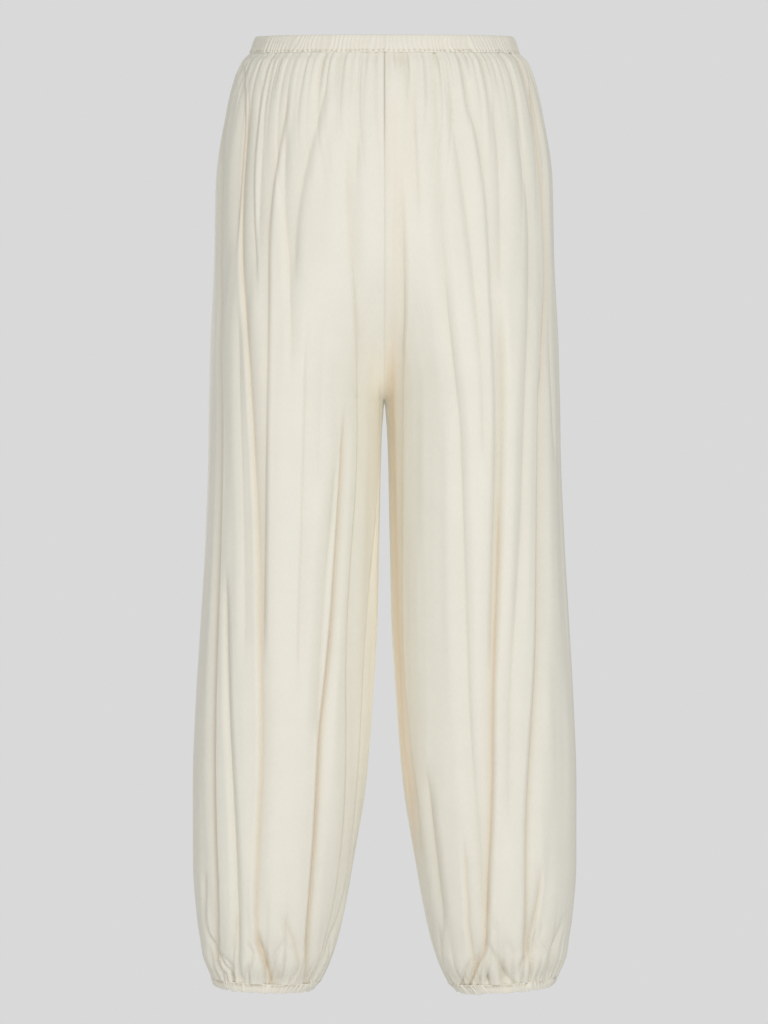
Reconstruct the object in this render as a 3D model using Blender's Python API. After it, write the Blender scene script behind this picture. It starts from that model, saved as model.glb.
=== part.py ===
"""Elasticated balloon-leg trousers, hollow as if worn, with nobody inside.

Four leg panels hang from a gathered waistband casing and end in gathered ankle cuffs.
Sizes are in millimetres and become metres when a mesh is made. +Z is up, the front faces -Y,
left and right are as seen from the front, and the origin is the middle of the waist opening.
"""
import math
from bisect import bisect_right
from collections import namedtuple

import bmesh
import bpy
from mathutils import Vector

MM = 0.001

# Cloth and seams
CLOTH = 1.2
CASING = 2.4
SEAM_GAP = 0.3

# Lengths down from the waist opening
BAND_HEIGHT = 18.0
CROTCH = 388.0
CUFF_TOP = 999.5
CUFF_HEIGHT = 8.0
TORSO_MERGE = 170.0

# How the rings lean: the waist dips at the front, and each hem rises on its outer side
WAIST_LEAN = 0.17
WAIST_LEAN_END = 170.0
HEM_RISE_LEFT = 3.2
HEM_RISE_RIGHT = 5.6
HEM_RISE_START = 850.0

# The legs nearly touch below the crotch, round a saddle of this radius
SADDLE = 3.3
TORSO_FULLNESS = 2.3
CLEFT_SHARPNESS = 3

# Gathers, counted on each panel at the waist and again at the ankle
GATHERS = 22
COLUMNS = 2 * GATHERS
WAIST_GATHER = 1.3
ANKLE_GATHER = 1.2
BAND_RIDGE = 0.8
BAND_BULGE = 0.9

# Distance that the garment's outline was seen from, for where the front folds lie
VIEW_DISTANCE = 2600.0

# The columns are evenly spaced at the waist. Between these drops they turn into even turns
# round a leg, so that those nearest the middle run down into the crotch.
EVEN_COLUMNS_END = 60.0
TURNED_COLUMNS_START = 305.0
SAMPLES_PER_COLUMN = 4
TANGENT_REACH = 2.0

# Outline of one leg and its half of the torso: outer and inner edge from the centre line,
# then how far the cloth stands in front of and behind the side seam
Section = namedtuple("Section", "drop outer inner front back")
SECTIONS = (
    Section(0.0, 139.5, 0.0, 98.0, 98.0),
    Section(18.0, 146.0, 0.0, 102.0, 102.0),
    Section(45.0, 159.5, 0.0, 109.0, 110.0),
    Section(88.0, 168.5, 0.0, 115.0, 120.0),
    Section(152.0, 177.5, 0.0, 120.0, 131.0),
    Section(237.0, 179.6, 0.0, 121.0, 136.0),
    Section(323.0, 184.0, 0.0, 117.0, 131.0),
    Section(388.0, 185.5, 0.0, 112.5, 122.5),
    Section(396.0, 185.7, 2.6, 112.0, 121.5),
    Section(430.0, 186.0, 3.4, 110.0, 117.5),
    Section(536.0, 189.7, 5.4, 105.0, 109.5),
    Section(620.0, 194.5, 7.8, 101.0, 105.0),
    Section(706.0, 199.9, 12.5, 97.0, 100.0),
    Section(792.0, 203.1, 19.7, 92.0, 96.0),
    Section(877.0, 203.0, 33.5, 86.0, 89.0),
    Section(941.0, 198.2, 46.0, 76.0, 78.0),
    Section(972.0, 191.0, 55.0, 65.0, 66.0),
    Section(999.5, 183.5, 67.5, 53.5, 53.5),
    Section(1007.5, 181.0, 72.0, 51.5, 51.5),
)

# Heights of the panels' rows of points, closest together at the waist, crotch and ankle
ROW_DROPS = (18.3, 34.0, 62.0, 110.0, 175.0, 245.0, 305.0, 345.0, 371.0, CROTCH,
             396.0, 420.0, 490.0, 590.0, 710.0, 820.0, 895.0, 945.0, 977.0, CUFF_TOP - 0.3)
CROTCH_ROW = ROW_DROPS.index(CROTCH)

# The largest folds: each is a soft trough that runs down a panel. The columns from hip to ankle
# say how far from the centre line it lies at the drops below.
FOLD_DROPS = (100.0, 220.0, 340.0, 480.0, 660.0, 820.0, 930.0)
Fold = namedtuple("Fold", "panel top end hip seat fork thigh knee calf ankle width depth")
FOLDS = (
    Fold("front_left", 20, 985, 168, 173, 174, 174, 179, 182, 180, 7, 10),
    Fold("front_left", 560, 985, 171, 171, 171, 170, 168, 161, 156, 6, 4),
    Fold("front_left", 60, 985, 150, 153, 146, 138, 132, 133, 136, 8, 8),
    Fold("front_left", 55, 680, 109, 124, 125, 128, 130, 130, 130, 9, 6),
    Fold("front_left", 90, 680, 106, 104, 98, 87, 91, 91, 91, 9, 4),
    Fold("front_left", 120, 990, 38, 36, 27, 29, 39, 41, 54, 9, 5),
    Fold("front_left", 400, 985, 48, 48, 48, 48, 60, 71, 79, 7, 6),
    Fold("front_right", 90, 960, 19, 21, 19, 18, 19, 38, 62, 10, 6),
    Fold("front_right", 20, 960, 55, 62, 70, 82, 89, 97, 105, 8, 5),
    Fold("front_right", 50, 460, 74, 91, 102, 106, 106, 106, 106, 8, 4),
    Fold("front_right", 45, 640, 100, 112, 117, 118, 115, 115, 115, 6, 4),
    Fold("front_right", 300, 990, 127, 127, 127, 125, 117, 114, 109, 7, 7),
    Fold("front_right", 80, 850, 142, 155, 152, 148, 137, 133, 133, 7, 5),
    Fold("front_right", 40, 990, 162, 171, 168, 165, 162, 152, 152, 7, 7),
    Fold("back_left", 30, 980, 40, 44, 40, 36, 44, 52, 66, 9, 6),
    Fold("back_left", 25, 700, 82, 90, 88, 80, 78, 78, 78, 8, 5),
    Fold("back_left", 60, 985, 118, 126, 124, 118, 112, 106, 104, 8, 7),
    Fold("back_left", 20, 980, 150, 158, 160, 161, 163, 160, 154, 7, 7),
    Fold("back_left", 480, 985, 60, 60, 60, 60, 70, 82, 90, 7, 5),
    Fold("back_right", 25, 985, 30, 36, 38, 34, 38, 46, 62, 9, 6),
    Fold("back_right", 50, 640, 68, 80, 84, 76, 72, 72, 72, 8, 5),
    Fold("back_right", 30, 985, 104, 112, 110, 104, 98, 96, 98, 8, 6),
    Fold("back_right", 120, 800, 134, 142, 144, 142, 138, 132, 132, 8, 5),
    Fold("back_right", 20, 985, 158, 167, 168, 168, 172, 172, 166, 7, 7),
)
FOLD_FADE = 60.0
SEAM_FADE = 16.0

# Colours are linear red, green and blue
Finish = namedtuple("Finish", "name colour roughness")
PANEL_CLOTH = Finish("ivory_cloth", (0.80, 0.77, 0.66), 0.72)
CASING_CLOTH = Finish("ivory_casing", (0.78, 0.74, 0.62), 0.76)


def smooth_step(value, low, high):
    """Rise from 0 at low to 1 at high with no corner."""
    ratio = min(max((value - low) / (high - low), 0.0), 1.0)
    return ratio * ratio * (3.0 - 2.0 * ratio)


def curve_through(heights, values, at):
    """Read a smooth curve through the given heights, with no overshoot at its knots."""
    if at <= heights[0]:
        return values[0]
    if at >= heights[-1]:
        return values[-1]
    span = next(i for i in range(len(heights) - 1) if at <= heights[i + 1])

    def slope(knot):
        """Harmonic mean of the slopes on both sides, which is flat at a turning point."""
        if knot in (0, len(heights) - 1):
            near = 0 if knot == 0 else len(heights) - 2
            return (values[near + 1] - values[near]) / (heights[near + 1] - heights[near])
        before = (values[knot] - values[knot - 1]) / (heights[knot] - heights[knot - 1])
        after = (values[knot + 1] - values[knot]) / (heights[knot + 1] - heights[knot])
        if before * after <= 0.0:
            return 0.0
        return 2.0 * before * after / (before + after)

    step = heights[span + 1] - heights[span]
    ratio = (at - heights[span]) / step
    bend = ratio * ratio * (3.0 - 2.0 * ratio)
    lead = ratio * (1.0 - ratio) ** 2
    tail = ratio * ratio * (1.0 - ratio)
    level = values[span] * (1.0 - bend) + values[span + 1] * bend
    return level + step * (lead * slope(span) - tail * slope(span + 1))


def section_at(drop):
    """Give the outline's section at any drop."""
    heights = [section.drop for section in SECTIONS]
    sizes = [curve_through(heights, column, drop) for column in list(zip(*SECTIONS))[1:]]
    return Section(drop, *sizes)


def past_saddle(distance):
    """Turn a distance beyond the saddle's rounding into a distance from the centre line."""
    return math.sqrt((distance + SADDLE) ** 2 - SADDLE ** 2)


def before_saddle(distance):
    """The inverse of past_saddle."""
    return math.sqrt(distance ** 2 + SADDLE ** 2) - SADDLE


def merge_at(drop):
    """How far the two legs are one torso, and how far the cleft between them is filled.

    Both are 0 at the crotch and below it. The first is 1 above the seat, and the second falls
    back to 0 there. Together they round the crotch seam off like a U seen from the side.
    """
    rise = min(max((CROTCH - drop) / TORSO_MERGE, 0.0), 1.0)
    return rise * rise * (3.0 - 2.0 * rise), 2.0 * rise * (1.0 - rise) ** 2


def half_outline(drop, face):
    """Sample one face of a leg, or of its half of the torso, from the inner to the outer edge."""
    section = section_at(drop)
    depth = section.front if face == "front" else section.back
    start = before_saddle(section.inner)
    stretch = before_saddle(section.outer) - start
    merge, cleft = merge_at(drop)
    samples = []
    for step in range(SAMPLES_PER_COLUMN * COLUMNS + 1):
        turn = math.pi * step / (SAMPLES_PER_COLUMN * COLUMNS)
        x = past_saddle(start + stretch * (1.0 - math.cos(turn)) / 2.0)
        across = min(x / section.outer, 1.0)
        leg = math.sin(turn) ** 2
        torso = 1.0 - across ** TORSO_FULLNESS
        filled = cleft * (1.0 - across) ** CLEFT_SHARPNESS
        y = depth * math.sqrt(max((1.0 - merge) * leg + merge * torso + filled, 0.0))
        samples.append((x, y))
    return samples


def arc_lengths(samples):
    """Distance along the samples, from the first to each."""
    total = [0.0]
    for (x0, y0), (x1, y1) in zip(samples, samples[1:]):
        total.append(total[-1] + math.hypot(x1 - x0, y1 - y0))
    return total


def read_between(keys, values, at):
    """Straight-line reading of values at a key between sorted keys."""
    i = min(max(bisect_right(keys, at) - 1, 0), len(keys) - 2)
    ratio = (at - keys[i]) / max(keys[i + 1] - keys[i], 1e-9)
    return values[i] + (values[i + 1] - values[i]) * min(max(ratio, 0.0), 1.0)


def fold_places(panel, face, drop, samples, lengths):
    """Where each fold of a panel crosses this row: its arc position, width and depth there."""
    sign = -1.0 if face == "front" else 0.0
    seen = [x * VIEW_DISTANCE / (VIEW_DISTANCE + sign * y) for x, y in samples]
    places = []
    for fold in FOLDS:
        if fold.panel != panel:
            continue
        fade = smooth_step(drop, fold.top, fold.top + FOLD_FADE)
        fade *= 1.0 - smooth_step(drop, fold.end - FOLD_FADE, fold.end)
        if fade > 0.0:
            across = curve_through(FOLD_DROPS, fold[3:10], drop)
            places.append((read_between(seen, lengths, across), fold.width, fold.depth * fade))
    return places


def gather_depth(column, drop):
    """Depth of the gather in a column: none in even columns, which are the crests."""
    if column % 2 == 0:
        return 0.0
    uneven = (column * 0.618) % 1.0
    waist = WAIST_GATHER * math.exp(-(drop - BAND_HEIGHT) / (25.0 + 60.0 * uneven))
    ankle = ANKLE_GATHER * math.exp(-(CUFF_TOP - drop) / (14.0 + 40.0 * uneven))
    return 2.0 * (waist + ankle)


def lean(side, x, y, drop, section):
    """Height of a point: its drop, plus the lean of the waist and of the hem."""
    waist = WAIST_LEAN * y * (1.0 - smooth_step(drop, BAND_HEIGHT, WAIST_LEAN_END))
    across = (x - section.inner) / (section.outer - section.inner)
    rise = HEM_RISE_LEFT if side < 0 else HEM_RISE_RIGHT
    hem = rise * (2.0 * across - 1.0) * smooth_step(drop, HEM_RISE_START, CUFF_TOP)
    return -drop + waist + hem


def face_row(side, face, drop, folded=True):
    """One row of points on a panel's middle surface, from its inner to its outer edge."""
    samples = half_outline(drop, face)
    lengths = arc_lengths(samples)
    total = lengths[-1]
    side_name = "left" if side < 0 else "right"
    places = fold_places(face + "_" + side_name, face, drop, samples, lengths) if folded else []
    section = section_at(drop)
    forward = -1.0 if face == "front" else 1.0
    turned = smooth_step(drop, EVEN_COLUMNS_END, TURNED_COLUMNS_START)
    xs, ys = zip(*samples)
    row = []
    for column in range(COLUMNS + 1):
        even = total * column / COLUMNS
        at = even + turned * (lengths[column * SAMPLES_PER_COLUMN] - even)
        x = read_between(lengths, xs, at)
        y = read_between(lengths, ys, at)
        ahead = min(at + TANGENT_REACH, total)
        behind = max(at - TANGENT_REACH, 0.0)
        along_x = read_between(lengths, xs, ahead) - read_between(lengths, xs, behind)
        along_y = read_between(lengths, ys, ahead) - read_between(lengths, ys, behind)
        size = math.hypot(along_x, along_y)
        sunk = 0.0
        if folded:
            sunk = sum(depth * math.exp(-abs((at - place) / width) ** 1.5)
                       for place, width, depth in places)
            sunk *= smooth_step(min(at, total - at), 0.0, SEAM_FADE)
            sunk += gather_depth(column, drop)
        z = lean(side, x, forward * y, drop, section)
        x += sunk * along_y / size
        y -= sunk * along_x / size
        row.append(Vector((side * x, forward * y, z)))
    return row


def leg_ring(side, drop, folded=True):
    """A side's row right round: the front from its inner edge, then the back to its inner edge."""
    front = face_row(side, "front", drop, folded)
    back = face_row(side, "back", drop, folded)
    seam = (front[-1] + back[-1]) / 2.0
    return front[:-1] + [seam] + back[-2::-1]


def wall_normals(rings, side):
    """Outward directions at every point of a side's rings, shared by the panels at their seams."""
    last = len(rings[0]) - 1
    normals = []
    for i, ring in enumerate(rings):
        above = rings[max(i - 1, 0)]
        below = rings[min(i + 1, len(rings) - 1)]
        row = []
        for k, point in enumerate(ring):
            down = below[k] - above[k]
            if k in (0, last) and i <= CROTCH_ROW:
                forward = -1.0 if k == 0 else 1.0
                if i == CROTCH_ROW:
                    row.append(Vector((0.0, 0.0, -1.0)))
                    continue
                normal = Vector((0.0, down.z, -down.y)).normalized()
                row.append(normal if normal.y * forward > 0.0 else -normal)
                continue
            before = ring[k - 1] if k > 0 else ring[last - 1]
            after = ring[k + 1] if k < last else ring[1]
            normal = (after - before).cross(down)
            if i in (0, len(rings) - 1):
                normal.z = 0.0
            row.append(normal.normalized() * side)
        normals.append(row)
    return normals


def part_at_seams(point, side, forward, column, row):
    """Pull a panel's edge point back by half of the seam's gap."""
    half = SEAM_GAP / 2.0
    moved = point.copy()
    if column == 0 and row <= CROTCH_ROW:
        moved.x = side * half
    if column == COLUMNS or (column == 0 and row >= CROTCH_ROW):
        moved.y += forward * half
    return moved


def closed_wall(name, outer, inner, around, finish):
    """Skin two matching grids of points and their rims as one closed body.

    outer and inner are rows of points; around joins each row's last point to its first.
    """
    mesh_data = bmesh.new()
    grids = [[[mesh_data.verts.new(point * MM) for point in row] for row in grid]
             for grid in (outer, inner)]
    rows = len(outer)
    columns = len(outer[0])
    spans = columns if around else columns - 1
    for i in range(rows - 1):
        for j in range(spans):
            k = (j + 1) % columns
            for grid in grids:
                mesh_data.faces.new((grid[i][j], grid[i][k], grid[i + 1][k], grid[i + 1][j]))
    for i in (0, rows - 1):
        for j in range(spans):
            k = (j + 1) % columns
            mesh_data.faces.new((grids[0][i][j], grids[0][i][k], grids[1][i][k], grids[1][i][j]))
    if not around:
        for j in (0, columns - 1):
            for i in range(rows - 1):
                mesh_data.faces.new((grids[0][i][j], grids[0][i + 1][j],
                                     grids[1][i + 1][j], grids[1][i][j]))
    bmesh.ops.recalc_face_normals(mesh_data, faces=mesh_data.faces)
    bmesh.ops.triangulate(mesh_data, faces=mesh_data.faces)
    mesh = bpy.data.meshes.new(name)
    mesh_data.to_mesh(mesh)
    mesh_data.free()
    mesh.shade_smooth()
    mesh.set_sharp_from_angle(angle=math.radians(50.0))
    mesh.materials.append(finish)
    piece = bpy.data.objects.new(name, mesh)
    bpy.context.scene.collection.objects.link(piece)
    return piece


def leg_panels(side, finish):
    """Front and back panel of one side, from the waistband to the cuff."""
    rings = [leg_ring(side, drop) for drop in ROW_DROPS]
    normals = wall_normals(rings, side)
    side_name = "left" if side < 0 else "right"
    for face, forward in (("front", -1.0), ("back", 1.0)):
        walls = {1.0: [], -1.0: []}
        for i, ring in enumerate(rings):
            places = range(COLUMNS + 1) if face == "front" else range(2 * COLUMNS, COLUMNS - 1, -1)
            for direction, grid in walls.items():
                row = []
                for column, k in enumerate(places):
                    point = ring[k] + normals[i][k] * (direction * CLOTH / 2.0)
                    row.append(part_at_seams(point, side, forward, column, i))
                grid.append(row)
        closed_wall(face + "_" + side_name, walls[1.0], walls[-1.0], False, finish)


def band_walls(rings, hard_rows):
    """Outer and inner points of a gathered casing that follows the given closed rings."""
    outer = []
    inner = []
    for i, ring in enumerate(rings):
        count = len(ring)
        outer_row = []
        inner_row = []
        for k, point in enumerate(ring):
            along = ring[(k + 1) % count] - ring[k - 1]
            outward = Vector((along.y, -along.x, 0.0)).normalized()
            ridge = BAND_RIDGE if k % 2 == 0 else 0.0
            bulge = 0.0 if i in hard_rows else BAND_BULGE
            outer_row.append(point + outward * (CASING / 2.0 + ridge + bulge))
            inner_row.append(point - outward * CASING / 2.0)
        outer.append(outer_row)
        inner.append(inner_row)
    return outer, inner


def waistband(finish):
    """The casing round the waist, one closed ring with a ridge for every gather."""
    rings = []
    for drop in (0.0, BAND_HEIGHT / 2.0, BAND_HEIGHT):
        right = leg_ring(1, drop, folded=False)
        left = leg_ring(-1, drop, folded=False)
        rings.append(right + left[-2:0:-1])
    outer, inner = band_walls(rings, (0, 2))
    closed_wall("waistband", outer, inner, True, finish)


def cuff(side, finish):
    """The casing round one ankle."""
    rings = []
    for drop in (CUFF_TOP, CUFF_TOP + CUFF_HEIGHT):
        ring = leg_ring(side, drop, folded=False)[:-1]
        rings.append(ring if side > 0 else ring[::-1])
    outer, inner = band_walls(rings, (0, 1))
    closed_wall("cuff_left" if side < 0 else "cuff_right", outer, inner, True, finish)


def make_finish(finish):
    """A plain cloth material."""
    material = bpy.data.materials.new(finish.name)
    material.use_nodes = True
    shader = material.node_tree.nodes["Principled BSDF"]
    shader.inputs["Base Color"].default_value = (*finish.colour, 1.0)
    shader.inputs["Roughness"].default_value = finish.roughness
    shader.inputs["Metallic"].default_value = 0.0
    return material


def main():
    """Clear the scene and build the seven pieces of the garment."""
    for old in list(bpy.data.objects):
        bpy.data.objects.remove(old, do_unlink=True)
    panel_cloth = make_finish(PANEL_CLOTH)
    casing_cloth = make_finish(CASING_CLOTH)
    waistband(casing_cloth)
    for side in (-1, 1):
        leg_panels(side, panel_cloth)
        cuff(side, casing_cloth)


main()
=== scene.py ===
"""Dresses the elasticated balloon-leg trousers: soft cloth panels, ruched casings and stitching.

Lengths are in millimetres, as in the part, and become metres when a mesh is made. A drop is a
length down from the waist opening, and across is a distance from the centre line. Left and
right are as seen from the front.
"""

import logging
import math
from dataclasses import dataclass
from enum import Enum

import bmesh
import bpy
import numpy as np
from mathutils import Matrix, Vector


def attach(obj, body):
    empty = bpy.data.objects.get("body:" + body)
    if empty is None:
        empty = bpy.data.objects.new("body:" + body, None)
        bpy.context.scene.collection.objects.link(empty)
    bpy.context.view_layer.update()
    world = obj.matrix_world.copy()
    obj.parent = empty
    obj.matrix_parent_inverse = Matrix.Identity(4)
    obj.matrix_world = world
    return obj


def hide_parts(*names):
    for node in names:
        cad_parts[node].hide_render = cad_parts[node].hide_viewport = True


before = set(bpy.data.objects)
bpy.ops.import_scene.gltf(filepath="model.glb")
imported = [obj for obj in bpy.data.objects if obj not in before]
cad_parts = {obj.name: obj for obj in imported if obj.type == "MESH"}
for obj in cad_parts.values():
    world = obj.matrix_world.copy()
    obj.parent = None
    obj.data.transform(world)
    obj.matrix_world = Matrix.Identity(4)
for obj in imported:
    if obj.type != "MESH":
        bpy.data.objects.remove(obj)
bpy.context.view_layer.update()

log = logging.getLogger("trousers")

MM = 0.001
BODY = "root"

# Where the garment is looked at from: how far away, and the drop level with the eye
EYE_DISTANCE = 2600.0
EYE_DROP = 506.35
EYE_ACROSS = -0.5

# The least that a length is divided by, and how close points are that become one
TINY = 1e-6

# How strongly the weave and the light through the cloth change its colour
SLUB_SCALE = 900.0
SLUB_SHADE = 0.10
CLOUD_SCALE = 26.0
CLOUD_SHADE = 0.05
PLAIN_SHADE = 0.925
LIT_GAIN = 0.26


class Side(Enum):
    """The leg that a piece belongs to, with the sign of its X."""

    LEFT = -1.0
    RIGHT = 1.0


class Face(Enum):
    """The face that a piece belongs to, with the sign of its Y."""

    FRONT = -1.0
    BACK = 1.0


@dataclass(frozen=True)
class Section:
    """Outline of a leg and its half of the torso at one drop."""

    drop: float
    outer: float
    inner: float
    front: float
    back: float


OUTLINE = (
    Section(0.0, 136.0, 0.0, 96.5, 96.5),
    Section(18.0, 143.0, 0.0, 101.0, 101.0),
    Section(25.0, 150.0, 0.0, 103.5, 103.8),
    Section(45.0, 159.5, 0.0, 109.0, 110.0),
    Section(88.0, 168.5, 0.0, 115.0, 120.0),
    Section(152.0, 177.5, 0.0, 120.0, 131.0),
    Section(237.0, 179.6, 0.0, 121.0, 136.0),
    Section(323.0, 184.0, 0.0, 117.0, 131.0),
    Section(388.0, 185.5, 0.0, 112.5, 122.5),
    Section(396.0, 185.7, 1.0, 112.0, 121.5),
    Section(430.0, 186.0, 3.3, 110.0, 117.5),
    Section(536.0, 189.7, 5.7, 105.0, 109.5),
    Section(620.0, 194.5, 7.5, 101.0, 105.0),
    Section(706.0, 199.9, 12.7, 97.0, 100.0),
    Section(792.0, 203.1, 19.7, 92.0, 96.0),
    Section(877.0, 203.0, 33.5, 86.0, 89.0),
    Section(941.0, 198.2, 46.0, 76.0, 78.0),
    Section(972.0, 191.0, 55.0, 65.0, 66.0),
    Section(999.5, 183.5, 67.5, 53.5, 53.5),
    Section(1007.5, 181.0, 75.5, 51.5, 51.5),
)


def smooth_step(value: np.ndarray | float, low: float, high: float) -> np.ndarray:
    """Rise from 0 at low to 1 at high with no corner.

    Args:
        value: Where the curve is read.
        low: Where the rise starts.
        high: Where the rise ends.

    Returns:
        The height of the curve at each value.
    """
    ratio = np.clip((value - low) / (high - low), 0.0, 1.0)
    return ratio * ratio * (3.0 - 2.0 * ratio)


def curve_through(knots: np.ndarray, values: np.ndarray, at: np.ndarray) -> np.ndarray:
    """Read a smooth curve through the given points, with no overshoot at its knots.

    Args:
        knots: Rising places of the points.
        values: The curve's height at each place.
        at: Where the curve is read.

    Returns:
        The curve's height at each place in at, held level beyond both ends.
    """
    knots = np.asarray(knots, float)
    values = np.asarray(values, float)
    rates = np.diff(values) / np.diff(knots)
    slopes = np.concatenate((rates[:1], np.zeros(len(knots) - 2), rates[-1:]))
    product = rates[:-1] * rates[1:]
    total = rates[:-1] + rates[1:]
    turning = product <= 0.0
    slopes[1:-1] = np.where(turning, 0.0, 2.0 * product / np.where(turning, 1.0, total))
    at = np.clip(at, knots[0], knots[-1])
    span = np.clip(np.searchsorted(knots, at, side="right") - 1, 0, len(knots) - 2)
    step = knots[span + 1] - knots[span]
    ratio = (at - knots[span]) / step
    bend = ratio * ratio * (3.0 - 2.0 * ratio)
    lead = ratio * (1.0 - ratio) ** 2
    tail = ratio * ratio * (1.0 - ratio)
    level = values[span] * (1.0 - bend) + values[span + 1] * bend
    return level + step * (lead * slopes[span] - tail * slopes[span + 1])


class Undulation:
    """Smooth seeded noise over a surface, the same on every run."""

    SIZE = 64

    def __init__(self, seed: int) -> None:
        """Fill the lattice that the noise is read from."""
        self.lattice = np.random.default_rng(seed).uniform(-1.0, 1.0, (self.SIZE, self.SIZE))

    def at(self, u: np.ndarray, v: np.ndarray) -> np.ndarray:
        """Read the noise.

        Args:
            u: Places along the first direction, in lattice steps.
            v: Places along the second direction, in lattice steps.

        Returns:
            Values between -1 and 1.
        """
        u, v = np.broadcast_arrays(np.asarray(u, float), np.asarray(v, float))
        column = np.floor(u).astype(int)
        row = np.floor(v).astype(int)
        ease_u = smooth_step(u - column, 0.0, 1.0)
        ease_v = smooth_step(v - row, 0.0, 1.0)
        corner = self.lattice
        low = (corner[row % self.SIZE, column % self.SIZE] * (1.0 - ease_u)
               + corner[row % self.SIZE, (column + 1) % self.SIZE] * ease_u)
        high = (corner[(row + 1) % self.SIZE, column % self.SIZE] * (1.0 - ease_u)
                + corner[(row + 1) % self.SIZE, (column + 1) % self.SIZE] * ease_u)
        return low * (1.0 - ease_v) + high * ease_v


@dataclass
class Rows:
    """Level outlines of one face, evenly sampled along their arcs.

    Every array has a row for each drop. Y is unsigned, and grows away from the side seams.
    """

    drops: np.ndarray
    x: np.ndarray
    y: np.ndarray
    out_x: np.ndarray
    out_y: np.ndarray
    height: np.ndarray
    turn: np.ndarray
    total: np.ndarray

    def read(self, field: np.ndarray, at: np.ndarray) -> np.ndarray:
        """Read a sampled field at arc positions, row by row.

        Args:
            field: One of the sampled arrays.
            at: Arc positions in each row, in millimetres.

        Returns:
            The field at those positions.
        """
        last = field.shape[1] - 1
        place = np.clip(at / self.total * last, 0.0, last)
        index = np.minimum(place.astype(int), last - 1)
        ratio = place - index
        near = np.take_along_axis(field, index, axis=1)
        far = np.take_along_axis(field, index + 1, axis=1)
        return near + (far - near) * ratio

    def arcs(self) -> np.ndarray:
        """Arc position of every sample."""
        return self.total * np.linspace(0.0, 1.0, self.x.shape[1])

    def seen(self) -> tuple[np.ndarray, np.ndarray]:
        """Where each sample shows from the eye: its distance across and its drop."""
        nearer = EYE_DISTANCE / (EYE_DISTANCE - self.y)
        return self.x * nearer, EYE_DROP - (self.height + EYE_DROP) * nearer


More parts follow.
